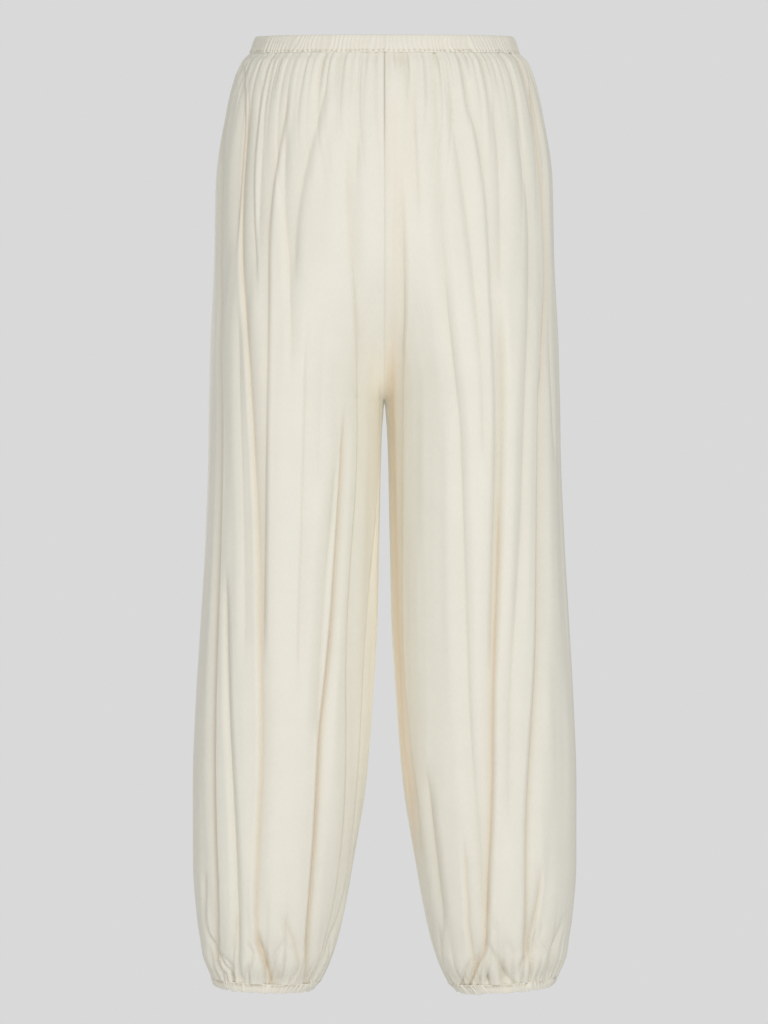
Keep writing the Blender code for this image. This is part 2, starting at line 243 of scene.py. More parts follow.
@dataclass(frozen=True)
class TrouserForm:
    """The garment's form as worn, without its folds: the middle of the cloth."""

    crotch: float = 388.0
    torso_merge: float = 170.0
    saddle: float = 3.3
    fullness: float = 2.3
    cleft_sharpness: int = 3
    cleft_easing: float = 0.35
    cleft_filling: float = 0.6
    parting: float = 5.0
    inner_pinch: float = 0.9
    waist_lean: float = 0.17
    waist_lean_end: float = 170.0
    hem_rise_left: float = 2.0
    hem_rise_right: float = 3.6
    hem_sag: float = 2.0
    hem_rise_start: float = 850.0
    band_height: float = 18.0
    cuff_top: float = 999.5
    cuff_height: float = 9.2
    samples: int = 721
    tangent_samples: int = 4

    PARTING_POWER = 6
    PINCH_POWER = 4
    PINCH_FADE = (600.0, 860.0)
    LEAST_EASED = 1e-9

    def rows(self, side: Side, face: Face, drops: np.ndarray) -> Rows:
        """Sample one face of one side at the given drops.

        Args:
            side: The leg.
            face: Its front or back.
            drops: The drop of each row.

        Returns:
            The rows, from the centre seam or the inner leg seam to the side seam.
        """
        knots = [section.drop for section in OUTLINE]
        column = drops[:, None]
        outer, inner, depth = (
            curve_through(knots, [getattr(section, field) for section in OUTLINE], column)
            for field in ("outer", "inner", face.name.lower()))
        start = np.hypot(inner, self.saddle) - self.saddle
        near = self.parting * (1.0 - np.exp(-start / self.parting))
        shift = start - near
        stretch = np.hypot(outer, self.saddle) - self.saddle - shift
        turn = np.linspace(0.0, math.pi, self.samples)
        reach = (shift + stretch * (1.0 - np.cos(turn)) / 2.0
                 + near * ((1.0 + np.cos(turn)) / 2.0) ** self.PARTING_POWER)
        x = np.sqrt((reach + self.saddle) ** 2 - self.saddle ** 2)
        y = depth * np.sqrt(self.swelling(column, turn, np.minimum(x / outer, 1.0)))
        return self.even_rows(side, face, drops, turn, x, y)

    def swelling(self, drop: np.ndarray, turn: np.ndarray, across: np.ndarray) -> np.ndarray:
        """Squared share of the full depth: two legs below, which merge into one torso above.

        Args:
            drop: Drops, one for each row.
            turn: Turns round the leg from its inner edge, from 0 to pi.
            across: Distance across as a share of the outer edge's.

        Returns:
            The squared share at each point.
        """
        rise = np.clip((self.crotch - drop) / self.torso_merge, 0.0, 1.0)
        merge = rise * rise * (3.0 - 2.0 * rise)
        eased = rise * rise / (rise + self.cleft_easing * across + self.LEAST_EASED)
        cleft = self.cleft_filling * eased * (1.0 - rise) ** 2
        torso = 1.0 - across ** self.fullness
        pinch = self.inner_pinch * (1.0 - smooth_step(drop, *self.PINCH_FADE))
        power = 2.0 + pinch * ((1.0 + np.cos(turn)) / 2.0) ** self.PINCH_POWER
        leg = np.maximum(np.sin(turn), 0.0) ** power
        share = (1.0 - merge) * leg + merge * torso
        return np.maximum(share + cleft * (1.0 - across) ** self.cleft_sharpness, 0.0)

    def even_rows(self, side: Side, face: Face, drops: np.ndarray, turn: np.ndarray,
                  x: np.ndarray, y: np.ndarray) -> Rows:
        """Resample outlines evenly along their arcs and find their outward directions.

        Args:
            side: The leg.
            face: Its front or back.
            drops: The drop of each row.
            turn: The turn round the leg at each sample.
            x: Sampled distances across.
            y: Sampled unsigned depths.

        Returns:
            The finished rows.
        """
        lengths = np.zeros_like(x)
        lengths[:, 1:] = np.cumsum(np.hypot(np.diff(x, axis=1), np.diff(y, axis=1)), axis=1)
        total = lengths[:, -1:]
        turns = np.empty_like(x)
        for i in range(len(drops)):
            even = np.linspace(0.0, total[i, 0], self.samples)
            turns[i] = np.interp(even, lengths[i], turn)
            x[i] = np.interp(even, lengths[i], x[i])
            y[i] = np.interp(even, lengths[i], y[i])
        n = self.tangent_samples
        above = (drops < self.crotch)[:, None]
        first_x = x[:, n:0:-1] * np.where(above, -1.0, 1.0)
        first_y = y[:, n:0:-1] * np.where(above, 1.0, -1.0)
        long_x = np.concatenate((first_x, x, x[:, -2:-n - 2:-1]), axis=1)
        long_y = np.concatenate((first_y, y, -y[:, -2:-n - 2:-1]), axis=1)
        along_x = long_x[:, 2 * n:] - long_x[:, :-2 * n]
        along_y = long_y[:, 2 * n:] - long_y[:, :-2 * n]
        size = np.maximum(np.hypot(along_x, along_y), TINY)
        height = self.height(side, face, drops[:, None], x, y)
        return Rows(drops, x, y, -along_y / size, along_x / size, height, turns, total)

    def height(self, side: Side, face: Face, drop: np.ndarray, x: np.ndarray,
               y: np.ndarray) -> np.ndarray:
        """Height of points: their drop, plus the lean of the waist and of the hem.

        Args:
            side: The leg.
            face: Its front or back.
            drop: Drops of the rows.
            x: Distances across.
            y: Unsigned depths.

        Returns:
            The height of each point, which is 0 at the middle of the waist opening.
        """
        fading = 1.0 - smooth_step(drop, self.band_height, self.waist_lean_end)
        waist = self.waist_lean * face.value * y * fading
        inner = x[:, :1]
        outer = x[:, -1:]
        rise = self.hem_rise_left if side is Side.LEFT else self.hem_rise_right
        across = (x - inner) / (outer - inner)
        started = smooth_step(drop, self.hem_rise_start, self.cuff_top)
        sag = self.hem_sag * (1.0 - (y / y.max(axis=1, keepdims=True)) ** 2)
        return -drop + waist + (rise * (2.0 * across - 1.0) - sag) * started


@dataclass(frozen=True)
class Crease:
    """A trough that runs down a panel, given where it shows from in front of its face."""

    path: tuple[tuple[float, float], ...]
    depth: float
    inner: float
    outer: float
    # The warm amount lays painted warm shade along the crease, spreading as far as glow
    warm_shade: float = 0.0
    fade: float = 40.0
    glow: float = 2.4
    lip: float = 0.14

    ROUNDING = 0.7
    VALLEY_WIDTH = 10.0
    VALLEY_SHARE = 0.25
    ROLL_PLACE = 2.2
    ROLL_WIDTH = 1.1
    LEAST_EASING = 3.0
    EASING = 55.0
    EASING_STARTS = (30.0, 160.0)
    EASING_ENDS = (880.0, 970.0)
    SHIFTS = 11
    LEVEL_STEP = 2.0
    LAST_LEVEL = 1030.0

    def route(self, rows: Rows) -> tuple[np.ndarray, np.ndarray]:
        """Find where the crease crosses each row, and how far it has faded in there.

        Args:
            rows: The rows of the panel.

        Returns:
            An arc position and a strength from 0 to 1 for each row, as columns.
        """
        drops, acrosses = np.array(self.path).T
        across, drop = rows.seen()
        levels = np.arange(0.0, self.LAST_LEVEL, self.LEVEL_STEP)
        eased = smooth_step(levels, *self.EASING_STARTS) - smooth_step(levels, *self.EASING_ENDS)
        easing = self.LEAST_EASING + self.EASING * eased
        shifts = np.linspace(-1.0, 1.0, self.SHIFTS)[:, None] * easing
        line = curve_through(drops, acrosses, levels + shifts).mean(axis=0)
        beyond = np.maximum.accumulate(across - np.interp(drop, levels, line), axis=1)
        last = beyond.shape[1] - 1
        index = np.clip((beyond < 0.0).sum(axis=1), 1, last)[:, None]
        near = np.take_along_axis(beyond, index - 1, axis=1)
        far = np.take_along_axis(beyond, index, axis=1)
        share = np.clip(-near / np.maximum(far - near, TINY), 0.0, 1.0)
        place = (index - 1 + share) / last * rows.total
        level = np.take_along_axis(drop, index, axis=1)
        half = self.fade / 2.0
        strength = smooth_step(level, drops[0] - half, drops[0] + half)
        strength *= 1.0 - smooth_step(level, drops[-1] - half, drops[-1] + half)
        return place, strength

    def relief(self, beyond: np.ndarray) -> np.ndarray:
        """Shape of the trough across its line: how far the cloth stands out.

        Args:
            beyond: Distance beyond the line, away from the centre line.

        Returns:
            Height in millimetres, below 0 in the trough and above 0 on the rolls beside it.
        """
        reach = np.where(beyond < 0.0, self.inner, self.outer)
        distance = np.sqrt(beyond ** 2 + self.ROUNDING ** 2) - self.ROUNDING
        trough = np.exp(-distance / reach)
        roll = np.exp(-((distance - self.ROLL_PLACE * reach) / (self.ROLL_WIDTH * reach)) ** 2)
        valley = np.exp(-(beyond / self.VALLEY_WIDTH) ** 2)
        return self.depth * (self.lip * roll - trough - self.VALLEY_SHARE * valley)


@dataclass(frozen=True)
class Gathers:
    """Folds that fan out from a casing, each at its own share of the panel's width."""

    count: int
    depth: float
    start: float
    down: bool
    shortest: float
    longest: float
    narrow: float
    widest: float
    seed: int

    GENTLE = 3.0
    SPREAD = 0.02
    SWAY = 0.03
    ROUNDING = 0.5
    MARGIN = 0.1
    JITTER = 0.8
    LEAST_WIDTH = 0.7
    LEAST_STRENGTH = 0.3
    STRENGTH_RANGE = 1.3
    EDGE_SHARE = 0.65
    EDGE_GAIN = 0.35
    EDGE_LENGTH = 9.0

    def relief(self, rows: Rows, at: np.ndarray, spread: np.ndarray) -> np.ndarray:
        """Add up the gathers' troughs, each steep on one side and gentle on the other.

        Args:
            rows: The rows of the panel.
            at: Arc position of each point.
            spread: Share of the panel's width at each sample of the rows.

        Returns:
            Height of the cloth in millimetres, never above 0.
        """
        arcs = rows.arcs()
        random = np.random.default_rng(self.seed)
        away = rows.drops - self.start if self.down else self.start - rows.drops
        away = np.maximum(away, 0.0)[:, None]
        relief = np.zeros_like(at)
        for k in range(self.count):
            jitter, length, strength, sway, hand, size = random.uniform(0.0, 1.0, 6)
            reach = self.shortest + (self.longest - self.shortest) * length ** 2
            middle = (k + self.MARGIN + self.JITTER * jitter) / self.count
            middle = middle + (sway - 0.5) * self.SWAY * smooth_step(away, 0.0, 2.0 * reach)
            narrow = np.minimum(self.narrow + self.SPREAD * away, self.widest)
            narrow = narrow * (self.LEAST_WIDTH + size)
            place = [np.interp(*row) for row in zip(middle[:, 0], spread, arcs)]
            beyond = at - np.array(place)[:, None]
            side = np.where((beyond > 0.0) == (hand > 0.5), self.GENTLE * narrow, narrow)
            distance = np.sqrt(beyond ** 2 + self.ROUNDING ** 2) - self.ROUNDING
            rising = self.EDGE_SHARE + self.EDGE_GAIN * smooth_step(away, 0.0, self.EDGE_LENGTH)
            fading = np.exp(-(away / reach) ** 2) * rising
            depth = self.depth * (self.LEAST_STRENGTH + self.STRENGTH_RANGE * strength)
            relief -= depth * fading * np.exp(-distance / side)
        return relief


def new_piece(name: str, mesh_data: bmesh.types.BMesh) -> bpy.types.Object:
    """Put a finished shape into the scene, and free its data.

    Args:
        name: The piece's name.
        mesh_data: The shape.

    Returns:
        The new object, at the origin.
    """
    mesh = bpy.data.meshes.new(name)
    mesh_data.to_mesh(mesh)
    mesh_data.free()
    piece = bpy.data.objects.new(name, mesh)
    bpy.context.scene.collection.objects.link(piece)
    return piece


def grid_piece(name: str, points: np.ndarray, flat: np.ndarray, fields: dict[str, np.ndarray],
               closed: bool = False, flip: bool = False) -> bpy.types.Object:
    """Make a piece from a grid whose points follow from a formula.

    Args:
        name: The piece's name.
        points: Rows of points, in millimetres.
        flat: Where each point lies on the flat cloth, in millimetres.
        fields: Values for each point that the finish reads.
        closed: True where the grid closes on itself both ways, like a ring.
        flip: True where the grid's faces would point inwards.

    Returns:
        The new object, at the origin.
    """
    rows, columns = points.shape[:2]
    mesh_data = bmesh.new()
    bmesh.ops.create_grid(mesh_data, x_segments=columns - 1, y_segments=rows - 1, size=1.0)
    if flip:
        bmesh.ops.reverse_faces(mesh_data, faces=mesh_data.faces)
    piece = new_piece(name, mesh_data)
    mesh = piece.data
    places = np.empty(len(mesh.vertices) * 3)
    mesh.vertices.foreach_get("co", places)
    places = (places.reshape(-1, 3) + 1.0) / 2.0
    column = np.rint(places[:, 0] * (columns - 1)).astype(int)
    row = np.rint(places[:, 1] * (rows - 1)).astype(int)
    mesh.vertices.foreach_set("co", (points[row, column] * MM).ravel())
    corners = np.empty(len(mesh.loops), int)
    mesh.loops.foreach_get("vertex_index", corners)
    layer = mesh.uv_layers.new(name="cloth")
    layer.uv.foreach_set("vector", (flat[row[corners], column[corners]] * MM).ravel())
    for field, values in fields.items():
        attribute = mesh.attributes.new(field, "FLOAT", "POINT")
        attribute.data.foreach_set("value", values[row, column].astype(np.float32))
    if closed:
        mesh_data = bmesh.new()
        mesh_data.from_mesh(mesh)
        bmesh.ops.remove_doubles(mesh_data, verts=mesh_data.verts, dist=TINY)
        bmesh.ops.recalc_face_normals(mesh_data, faces=mesh_data.faces)
        mesh_data.to_mesh(mesh)
        mesh_data.free()
    mesh.shade_smooth()
    return piece


@dataclass(frozen=True)
class LegPanel:
    """One of the four panels: half of the front or back, from the waistband to a cuff."""

    form: TrouserForm
    side: Side
    face: Face
    creases: tuple[Crease, ...]
    seed: int
    gathering: float
    columns: int = 270
    thickness: float = 0.8
    proud: float = 0.5
    turning_start: float = 60.0
    turning_end: float = 305.0
    open_spacing: float = 7.4
    waist_spacing: float = 2.4
    ankle_spacing: float = 2.2
    crotch_spacing: float = 3.5
    crease_crowding: float = 1.0
    crowding_reach: float = 5.0
    deepest: float = 4.5
    core_width: float = 1.3
    # Painted dark shade along the cores of creases and gathers: its width, and how dark it is on
    # plain creases and on gathers
    plain_core: float = 0.12
    gather_core: float = 0.34
    levelling: float = 0.7
    seam_crowding: float = 0.4
    seam_groove: float = 1.6
    seam_fade: float = 9.0
    roll_height: float = 1.2
    roll_width: float = 30.0
    roll_length: float = 260.0
    ripple_height: float = 0.6
    ripple_width: float = 11.0
    ripple_length: float = 150.0
    blouse: float = 2.6
    leg_clearance: float = 0.15
    inner_swell: float = -0.3
    lit_reach: float = 26.0

    # Drops between which something fades in or out
    SETTLED_STARTS = (25.0, 130.0)
    SETTLED_ENDS = (960.0, 999.0)
    SHADOW_EASES = (60.0, 170.0)
    SHADOW_ENDS = (375.0, 395.0)
    LIT_STARTS = (300.0, 410.0)
    LIT_ENDS = (700.0, 880.0)

    # The rows and columns, and how far their crowding reaches
    ROW_SAMPLES = 2000
    CASING_REACH = 45.0
    CROTCH_REACH = 22.0
    SEAM_REACH = 0.02
    MOST_CROWDED = 1.3

    # Relief that counts as a full trough, and the swells over the cuff and under the waistband
    FULL_TROUGH = 6.0
    FULL_GATHER = 4.0
    BLOUSE_DROP = 978.0
    BLOUSE_REACH = 16.0
    BAND_SWELL = 1.2
    BAND_SWELL_DROP = 27.0
    BAND_SWELL_REACH = 9.0

    # The shadow in the centre seam, and how the cloth narrows towards the inner leg seam
    SHADOW = 0.16
    TOP_SHADOW = 0.44
    SHADOW_REACH = 1.2
    PARTING_LENGTH = 40.0
    INNER_REACH = 12.0

    @property
    def node(self) -> str:
        """Name of the node that the panel stands for."""
        return f"{self.face.name.lower()}_{self.side.name.lower()}"

    def row_drops(self) -> np.ndarray:
        """Drops of the rows, closest together at the waist, the crotch and the ankle."""
        top = self.form.band_height - 1.0
        end = self.form.cuff_top + 1.0
        fine = np.linspace(top, end, self.ROW_SAMPLES)
        spacing = 1.0 / self.open_spacing
        at_waist = np.exp(-(fine - top) / self.CASING_REACH)
        spacing = spacing + (1.0 / self.waist_spacing - spacing) * at_waist
        spacing += (1.0 / self.ankle_spacing) * np.exp(-(end - fine) / self.CASING_REACH)
        nearby = np.exp(-((fine - self.form.crotch) / self.CROTCH_REACH) ** 2)
        spacing += (1.0 / self.crotch_spacing) * nearby
        counted = np.concatenate(([0.0], np.cumsum((spacing[1:] + spacing[:-1]) / 2.0)))
        counted *= fine[1] - fine[0]
        return np.interp(np.linspace(0.0, counted[-1], int(counted[-1])), counted, fine)

    def spread(self, rows: Rows) -> np.ndarray:
        """Share of the panel's width at each sample: by arc at the waist, by turn lower down."""
        share = np.linspace(0.0, 1.0, rows.x.shape[1])
        turned = smooth_step(rows.drops, self.turning_start, self.turning_end)[:, None]
        return share + turned * (rows.turn / math.pi - share)

    def column_places(self, rows: Rows, spread: np.ndarray,
                      routes: list[tuple[np.ndarray, np.ndarray]]) -> np.ndarray:
        """Arc positions of the columns, which crowd along the creases.

        Args:
            rows: The rows of the panel.
            spread: Share of the panel's width at each sample of the rows.
            routes: Each crease's position and strength in every row.

        Returns:
            An arc position for each row and column.
        """
        fine = rows.arcs()
        edge = np.minimum(spread, 1.0 - spread)
        extra = self.seam_crowding * np.exp(-(edge / self.SEAM_REACH) ** 2) + np.zeros_like(fine)
        for place, strength in routes:
            extra += strength * np.exp(-((fine - place) / self.crowding_reach) ** 2)
        crowd = 1.0 + self.crease_crowding * np.minimum(extra, self.MOST_CROWDED)
        steps = np.diff(spread, axis=1) * (crowd[:, 1:] + crowd[:, :-1]) / 2.0
        counted = np.cumsum(steps, axis=1)
        counted = np.concatenate((np.zeros((len(rows.drops), 1)), counted), axis=1)
        counted /= counted[:, -1:]
        even = np.linspace(0.0, 1.0, self.columns + 1)
        return np.array([np.interp(even, count, arc) for count, arc in zip(counted, fine)])

    def relief(self, rows: Rows, at: np.ndarray, spread: np.ndarray,
               routes: list[tuple[np.ndarray, np.ndarray]]
               ) -> tuple[np.ndarray, dict[str, np.ndarray]]:
        """How far every point stands out from the form, and what the finish reads there.

        Args:
            rows: The rows of the panel.
            at: Arc position of each point.
            spread: Share of the panel's width at each sample of the rows.
            routes: Each crease's position and strength in every row.

        Returns:
            The relief in millimetres, and by name the fields from 0 to 1 for the finish: painted
            shade in soft troughs, painted dark shade at the cores of creases and in the centre
            seam, painted warm shade beside creases, and painted light where light shines through
            the cloth.
        """
        drop = rows.drops[:, None]
        relief = np.zeros_like(at)
        warmth = np.zeros_like(at)
        core = np.zeros_like(at)
        # Painted warm shade spreads beside each warm crease, and painted dark shade lies along its
        # core
        for crease, (place, strength) in zip(self.creases, routes):
            relief += strength * crease.relief(at - place)
            beyond = np.abs(at - place)
            warmth += crease.warm_shade * strength * np.exp(-beyond / crease.glow)
            sharp = strength * crease.depth / self.deepest * (self.plain_core + crease.warm_shade / 2.0)
            core = np.maximum(core, sharp * np.exp(-beyond / self.core_width))
        # Painted shade in the troughs, darker the deeper they are; gathers add painted dark shade
        # at their cores
        trough = np.clip(-relief / self.FULL_TROUGH, 0.0, 1.0)
        for gathers in self.gathers():
            small = gathers.relief(rows, at, spread)
            relief += small
            gathered = np.clip(-small / self.FULL_GATHER, 0.0, 1.0)
            core = np.maximum(core, self.gather_core * gathered ** 2)
            trough = np.maximum(trough, gathered)
        relief -= self.levelling * relief.mean(axis=1, keepdims=True)
        settled = smooth_step(drop, *self.SETTLED_STARTS)
        settled = settled * (1.0 - smooth_step(drop, *self.SETTLED_ENDS))
        rolls = Undulation(self.seed)
        ripples = Undulation(self.seed + 50)
        inward = rows.total - at
        relief += settled * self.roll_height * rolls.at(inward / self.roll_width,
                                                        drop / self.roll_length)
        relief += settled * self.ripple_height * ripples.at(inward / self.ripple_width,
                                                            drop / self.ripple_length)
        relief += self.blouse * np.exp(-((drop - self.BLOUSE_DROP) / self.BLOUSE_REACH) ** 2)
        under_band = np.exp(-((drop - self.BAND_SWELL_DROP) / self.BAND_SWELL_REACH) ** 2)
        relief += self.BAND_SWELL * under_band
        edge = np.minimum(at, rows.total - at)
        seamed = smooth_step(edge, 0.0, self.seam_fade)
        groove = 1.0 - np.exp(-(edge / self.seam_groove) ** 2)
        shadow = self.SHADOW + self.TOP_SHADOW * (1.0 - smooth_step(drop, *self.SHADOW_EASES))
        shadow = shadow * np.exp(-(at / self.SHADOW_REACH) ** 2)
        shadow = shadow * (1.0 - smooth_step(drop, *self.SHADOW_ENDS))
        parted = smooth_step(drop, self.form.crotch, self.form.crotch + self.PARTING_LENGTH)
        highest = self.inner_swell + at / self.INNER_REACH
        relief += parted * (np.minimum(relief, highest) - relief)
        lit = np.exp(-at / self.lit_reach) * smooth_step(drop, *self.LIT_STARTS)
        lit *= 1.0 - smooth_step(drop, *self.LIT_ENDS)
        fields = {"trough": trough, "warmth": np.clip(warmth, 0.0, 1.0), "lit": lit,
                  "core": np.clip(np.maximum(core * seamed, shadow), 0.0, 1.0)}
        return relief * seamed + self.proud * groove, fields

    def gathers(self) -> tuple[Gathers, ...]:
        """The gathers at the waist and at the ankle."""
        top = self.form.band_height
        end = self.form.cuff_top
        fine_waist = Gathers(count=36, depth=self.gathering * 1.9, start=top, down=True,
                             shortest=18.0, longest=110.0, narrow=0.7, widest=1.2,
                             seed=self.seed + 1)
        wide_waist = Gathers(count=17, depth=self.gathering * 1.6, start=top, down=True,
                             shortest=60.0, longest=200.0, narrow=0.7, widest=1.6,
                             seed=self.seed + 2)
        fine_ankle = Gathers(count=36, depth=2.3, start=end, down=False, shortest=9.0,
                             longest=36.0, narrow=0.8, widest=1.4, seed=self.seed + 4)
        wide_ankle = Gathers(count=16, depth=2.0, start=end, down=False, shortest=20.0,
                             longest=80.0, narrow=0.8, widest=2.0, seed=self.seed + 5)
        short = (fine_waist, wide_waist, fine_ankle, wide_ankle)
        if self.face is Face.FRONT:
            return short
        long_waist = Gathers(count=11, depth=2.0, start=top, down=True, shortest=160.0,
                             longest=800.0, narrow=1.0, widest=3.2, seed=self.seed + 3)
        long_ankle = Gathers(count=8, depth=2.0, start=end, down=False, shortest=150.0,
                             longest=700.0, narrow=1.0, widest=3.2, seed=self.seed + 6)
        return (*short, long_waist, long_ankle)

    def build(self, finish: bpy.types.Material) -> None:
        """Args:
            finish: The cloth's material.
        """
        rows = self.form.rows(self.side, self.face, self.row_drops())
        routes = [crease.route(rows) for crease in self.creases]
        spread = self.spread(rows)
        at = self.column_places(rows, spread, routes)
        relief, fields = self.relief(rows, at, spread, routes)
        x = rows.read(rows.x, at) + relief * rows.read(rows.out_x, at)
        x = np.maximum(x, np.minimum(rows.x[:, :1], self.leg_clearance))
        y = rows.read(rows.y, at) + relief * rows.read(rows.out_y, at)
        z = rows.read(rows.height, at)
        points = np.stack((self.side.value * x, self.face.value * y, z), axis=-1)
        flat = np.stack((at, np.broadcast_to(rows.drops[:, None], at.shape)), axis=-1)
        flip = self.side.value * self.face.value < 0.0
        piece = grid_piece(f"{self.node}_cloth", points, flat, fields, flip=flip)
        wall = piece.modifiers.new("wall", "SOLIDIFY")
        wall.thickness = self.thickness * MM
        wall.offset = -1.0
        piece.data.materials.append(finish)
        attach(piece, BODY)
        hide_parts(self.node)
        log.info("%s: %d columns by %d rows", piece.name, at.shape[1], at.shape[0])


@dataclass(frozen=True)
class Casing:
    """A ruched elastic casing: a closed ring whose outer face is drawn into fine ridges."""

    form: TrouserForm
    name: str
    node: str
    top: float
    tall: float
    sides: tuple[Side, ...]
    quarter_columns: int
    ridge_spacing: float
    ridge_height: float
    cut: tuple[float, float]
    seed: int
    profile_points: int = 28
    outer_half: float = 1.9
    inner_half: float = 1.3
    squareness: float = 3.2
    stitch_up: float = 2.0
    stitch_pinch: float = 0.7
    slant: float = 0.28
    raggedness: float = 0.7
    wobble: float = 0.8
    unevenness: float = 0.45

    # How far the casing laps over the cloth, and the slow changes of its ridges round the ring
    OVERLAP = 0.2
    WOBBLE_LENGTH = 2.4
    WOBBLE_RISE = 14.0
    STRENGTH = 0.75
    STRENGTH_LENGTH = 1.7
    STRENGTH_START = 9.0
    STRENGTH_RISE = 20.0
    LEAST_STRENGTH = 0.1
    CREST_POWER = 0.8

    # How the ridges, the stitching and the ragged lower edge shape the ring
    MIDDLE_HEIGHT = 0.35
    PINCH_HEIGHT = 1.3
    INNER_SHARE = -0.6
    STITCH_REACH = 1.1
    RAGGED_LENGTH = 3.4

    # Painted shade in the valleys and along the stitching: how dark and how warm it is
    VALLEY_GAIN = 1.3
    VALLEY_SHADE = 0.4
    STITCH_SHADE = 0.6
    VALLEY_WARM_SHADE = 0.25
    STITCH_CORE_SHADE = 0.6

    def ring(self, drops: np.ndarray) -> tuple[np.ndarray, np.ndarray]:
        """Follow the form's outline right round at each drop.

        Args:
            drops: The drops to follow it at.

        Returns:
            Points and outward directions, a row for each drop, whose last point is its first.
        """
        share = np.linspace(0.0, 1.0, self.quarter_columns + 1)
        points = []
        outs = []
        for side, face, back_to_front in self.quarters():
            rows = self.form.rows(side, face, drops)
            at = rows.total * share
            x = rows.read(rows.x, at) * side.value
            y = rows.read(rows.y, at) * face.value
            point = np.stack((x, y, rows.read(rows.height, at)), axis=-1)
            out_x = rows.read(rows.out_x, at) * side.value
            out_y = rows.read(rows.out_y, at) * face.value
            out = np.stack((out_x, out_y, np.zeros_like(x)), axis=-1)
            if back_to_front:
                point = point[:, ::-1]
                out = out[:, ::-1]
            points.append(point if not points else point[:, 1:])
            outs.append(out if not outs else out[:, 1:])
        return np.concatenate(points, axis=1), np.concatenate(outs, axis=1)

    def quarters(self) -> list[tuple[Side, Face, bool]]:
        """The stretches of the ring in order, and which of them run from outer to inner."""
        if len(self.sides) == 1:
            side = self.sides[0]
            return [(side, Face.FRONT, False), (side, Face.BACK, True)]
        return [(Side.RIGHT, Face.FRONT, False), (Side.RIGHT, Face.BACK, True),
                (Side.LEFT, Face.BACK, False), (Side.LEFT, Face.FRONT, True)]

    def profile(self) -> tuple[np.ndarray, np.ndarray]:
        """The casing's own section: how far out and how far up each of its points lies."""
        turn = np.linspace(0.0, 2.0 * math.pi, self.profile_points + 1)
        power = 2.0 / self.squareness
        out = np.sign(np.cos(turn)) * np.abs(np.cos(turn)) ** power
        up = np.sign(np.sin(turn)) * np.abs(np.sin(turn)) ** power
        out = np.where(out > 0.0, out * self.outer_half, out * self.inner_half)
        return out, up * (self.tall / 2.0 + self.OVERLAP)

    def ridges(self, around: np.ndarray, up: np.ndarray, across: np.ndarray) -> np.ndarray:
        """Height of the ruching, from 0 in the valleys to 1 on the crests.

        Args:
            around: Distance round the ring.
            up: Distance up from the casing's middle.
            across: Signed distance across, as a share of the widest.

        Returns:
            The height at each point.
        """
        wobble = Undulation(self.seed)
        leaning = around + self.slant * across * up
        phase = leaning / self.ridge_spacing
        wobbled = wobble.at(leaning / (self.WOBBLE_LENGTH * self.ridge_spacing),
                            up / self.WOBBLE_RISE)
        phase = phase + self.wobble * wobbled
        place = leaning / (self.STRENGTH_LENGTH * self.ridge_spacing) + self.STRENGTH_START
        strength = self.STRENGTH + self.unevenness * wobble.at(place, up / self.STRENGTH_RISE)
        crests = np.abs(np.sin(math.pi * phase)) ** self.CREST_POWER
        return np.maximum(strength, self.LEAST_STRENGTH) * crests

    def build(self, finish: bpy.types.Material) -> tuple[bpy.types.Object, np.ndarray]:
        """Make the casing.

        Args:
            finish: The cloth's material.

        Returns:
            The piece, and its grid of points.
        """
        out, up = self.profile()
        middle = self.top + self.tall / 2.0
        points, outward = self.ring(middle - up)
        steps = np.linalg.norm(np.diff(points[0, :, :2], axis=0), axis=1)
        around = np.concatenate(([0.0], np.cumsum(steps)))
        spacing = around[-1] / round(around[-1] / self.ridge_spacing)
        around = around * self.ridge_spacing / spacing
        across = points[:, :, 0] / np.abs(points[:, :, 0]).max()
        height = self.ridges(around[None, :], up[:, None], across)
        front = np.clip(out / self.outer_half, self.INNER_SHARE, 1.0)[:, None]
        from_stitch = up + self.tall / 2.0 - self.stitch_up
        stitch = np.exp(-(from_stitch / self.STITCH_REACH) ** 2)[:, None]
        swell = self.ridge_height * (height - self.MIDDLE_HEIGHT) * front
        pinched = self.PINCH_HEIGHT - height
        pinch = self.stitch_pinch * stitch * pinched * np.clip(front, 0.0, 1.0)
        points = points + outward * (out[:, None] + swell - pinch)[:, :, None]
        edge_noise = Undulation(self.seed + 5)
        ragged = edge_noise.at(around[None, :] / self.RAGGED_LENGTH, np.zeros_like(up)[:, None])
        low = np.clip(-up / (self.tall / 2.0), 0.0, 1.0)[:, None]
        points[:, :, 2] += self.raggedness * ragged * low
        along = np.broadcast_to(around, points.shape[:2])
        down = np.cumsum(np.concatenate(([0.0], np.hypot(np.diff(out), np.diff(up)))))
        flat = np.stack((along, np.broadcast_to(down[:, None], along.shape)), axis=-1)
        # Painted shade: darker and warmer cloth in the ridges' valleys and along the stitching
        valley = np.clip(1.0 - self.VALLEY_GAIN * height, 0.0, 1.0)
        trough = valley * (self.VALLEY_SHADE + self.STITCH_SHADE * stitch)
        fields = {"trough": trough, "warmth": self.VALLEY_WARM_SHADE * trough,
                  "core": self.STITCH_CORE_SHADE * trough * stitch, "lit": np.zeros_like(trough)}
        piece = grid_piece(self.name, points, flat, fields, closed=True)
        piece.data.materials.append(finish)
        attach(piece, BODY)
        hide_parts(self.node)
        log.info("%s: %.0f mm round", piece.name, around[-1])
        return piece, points


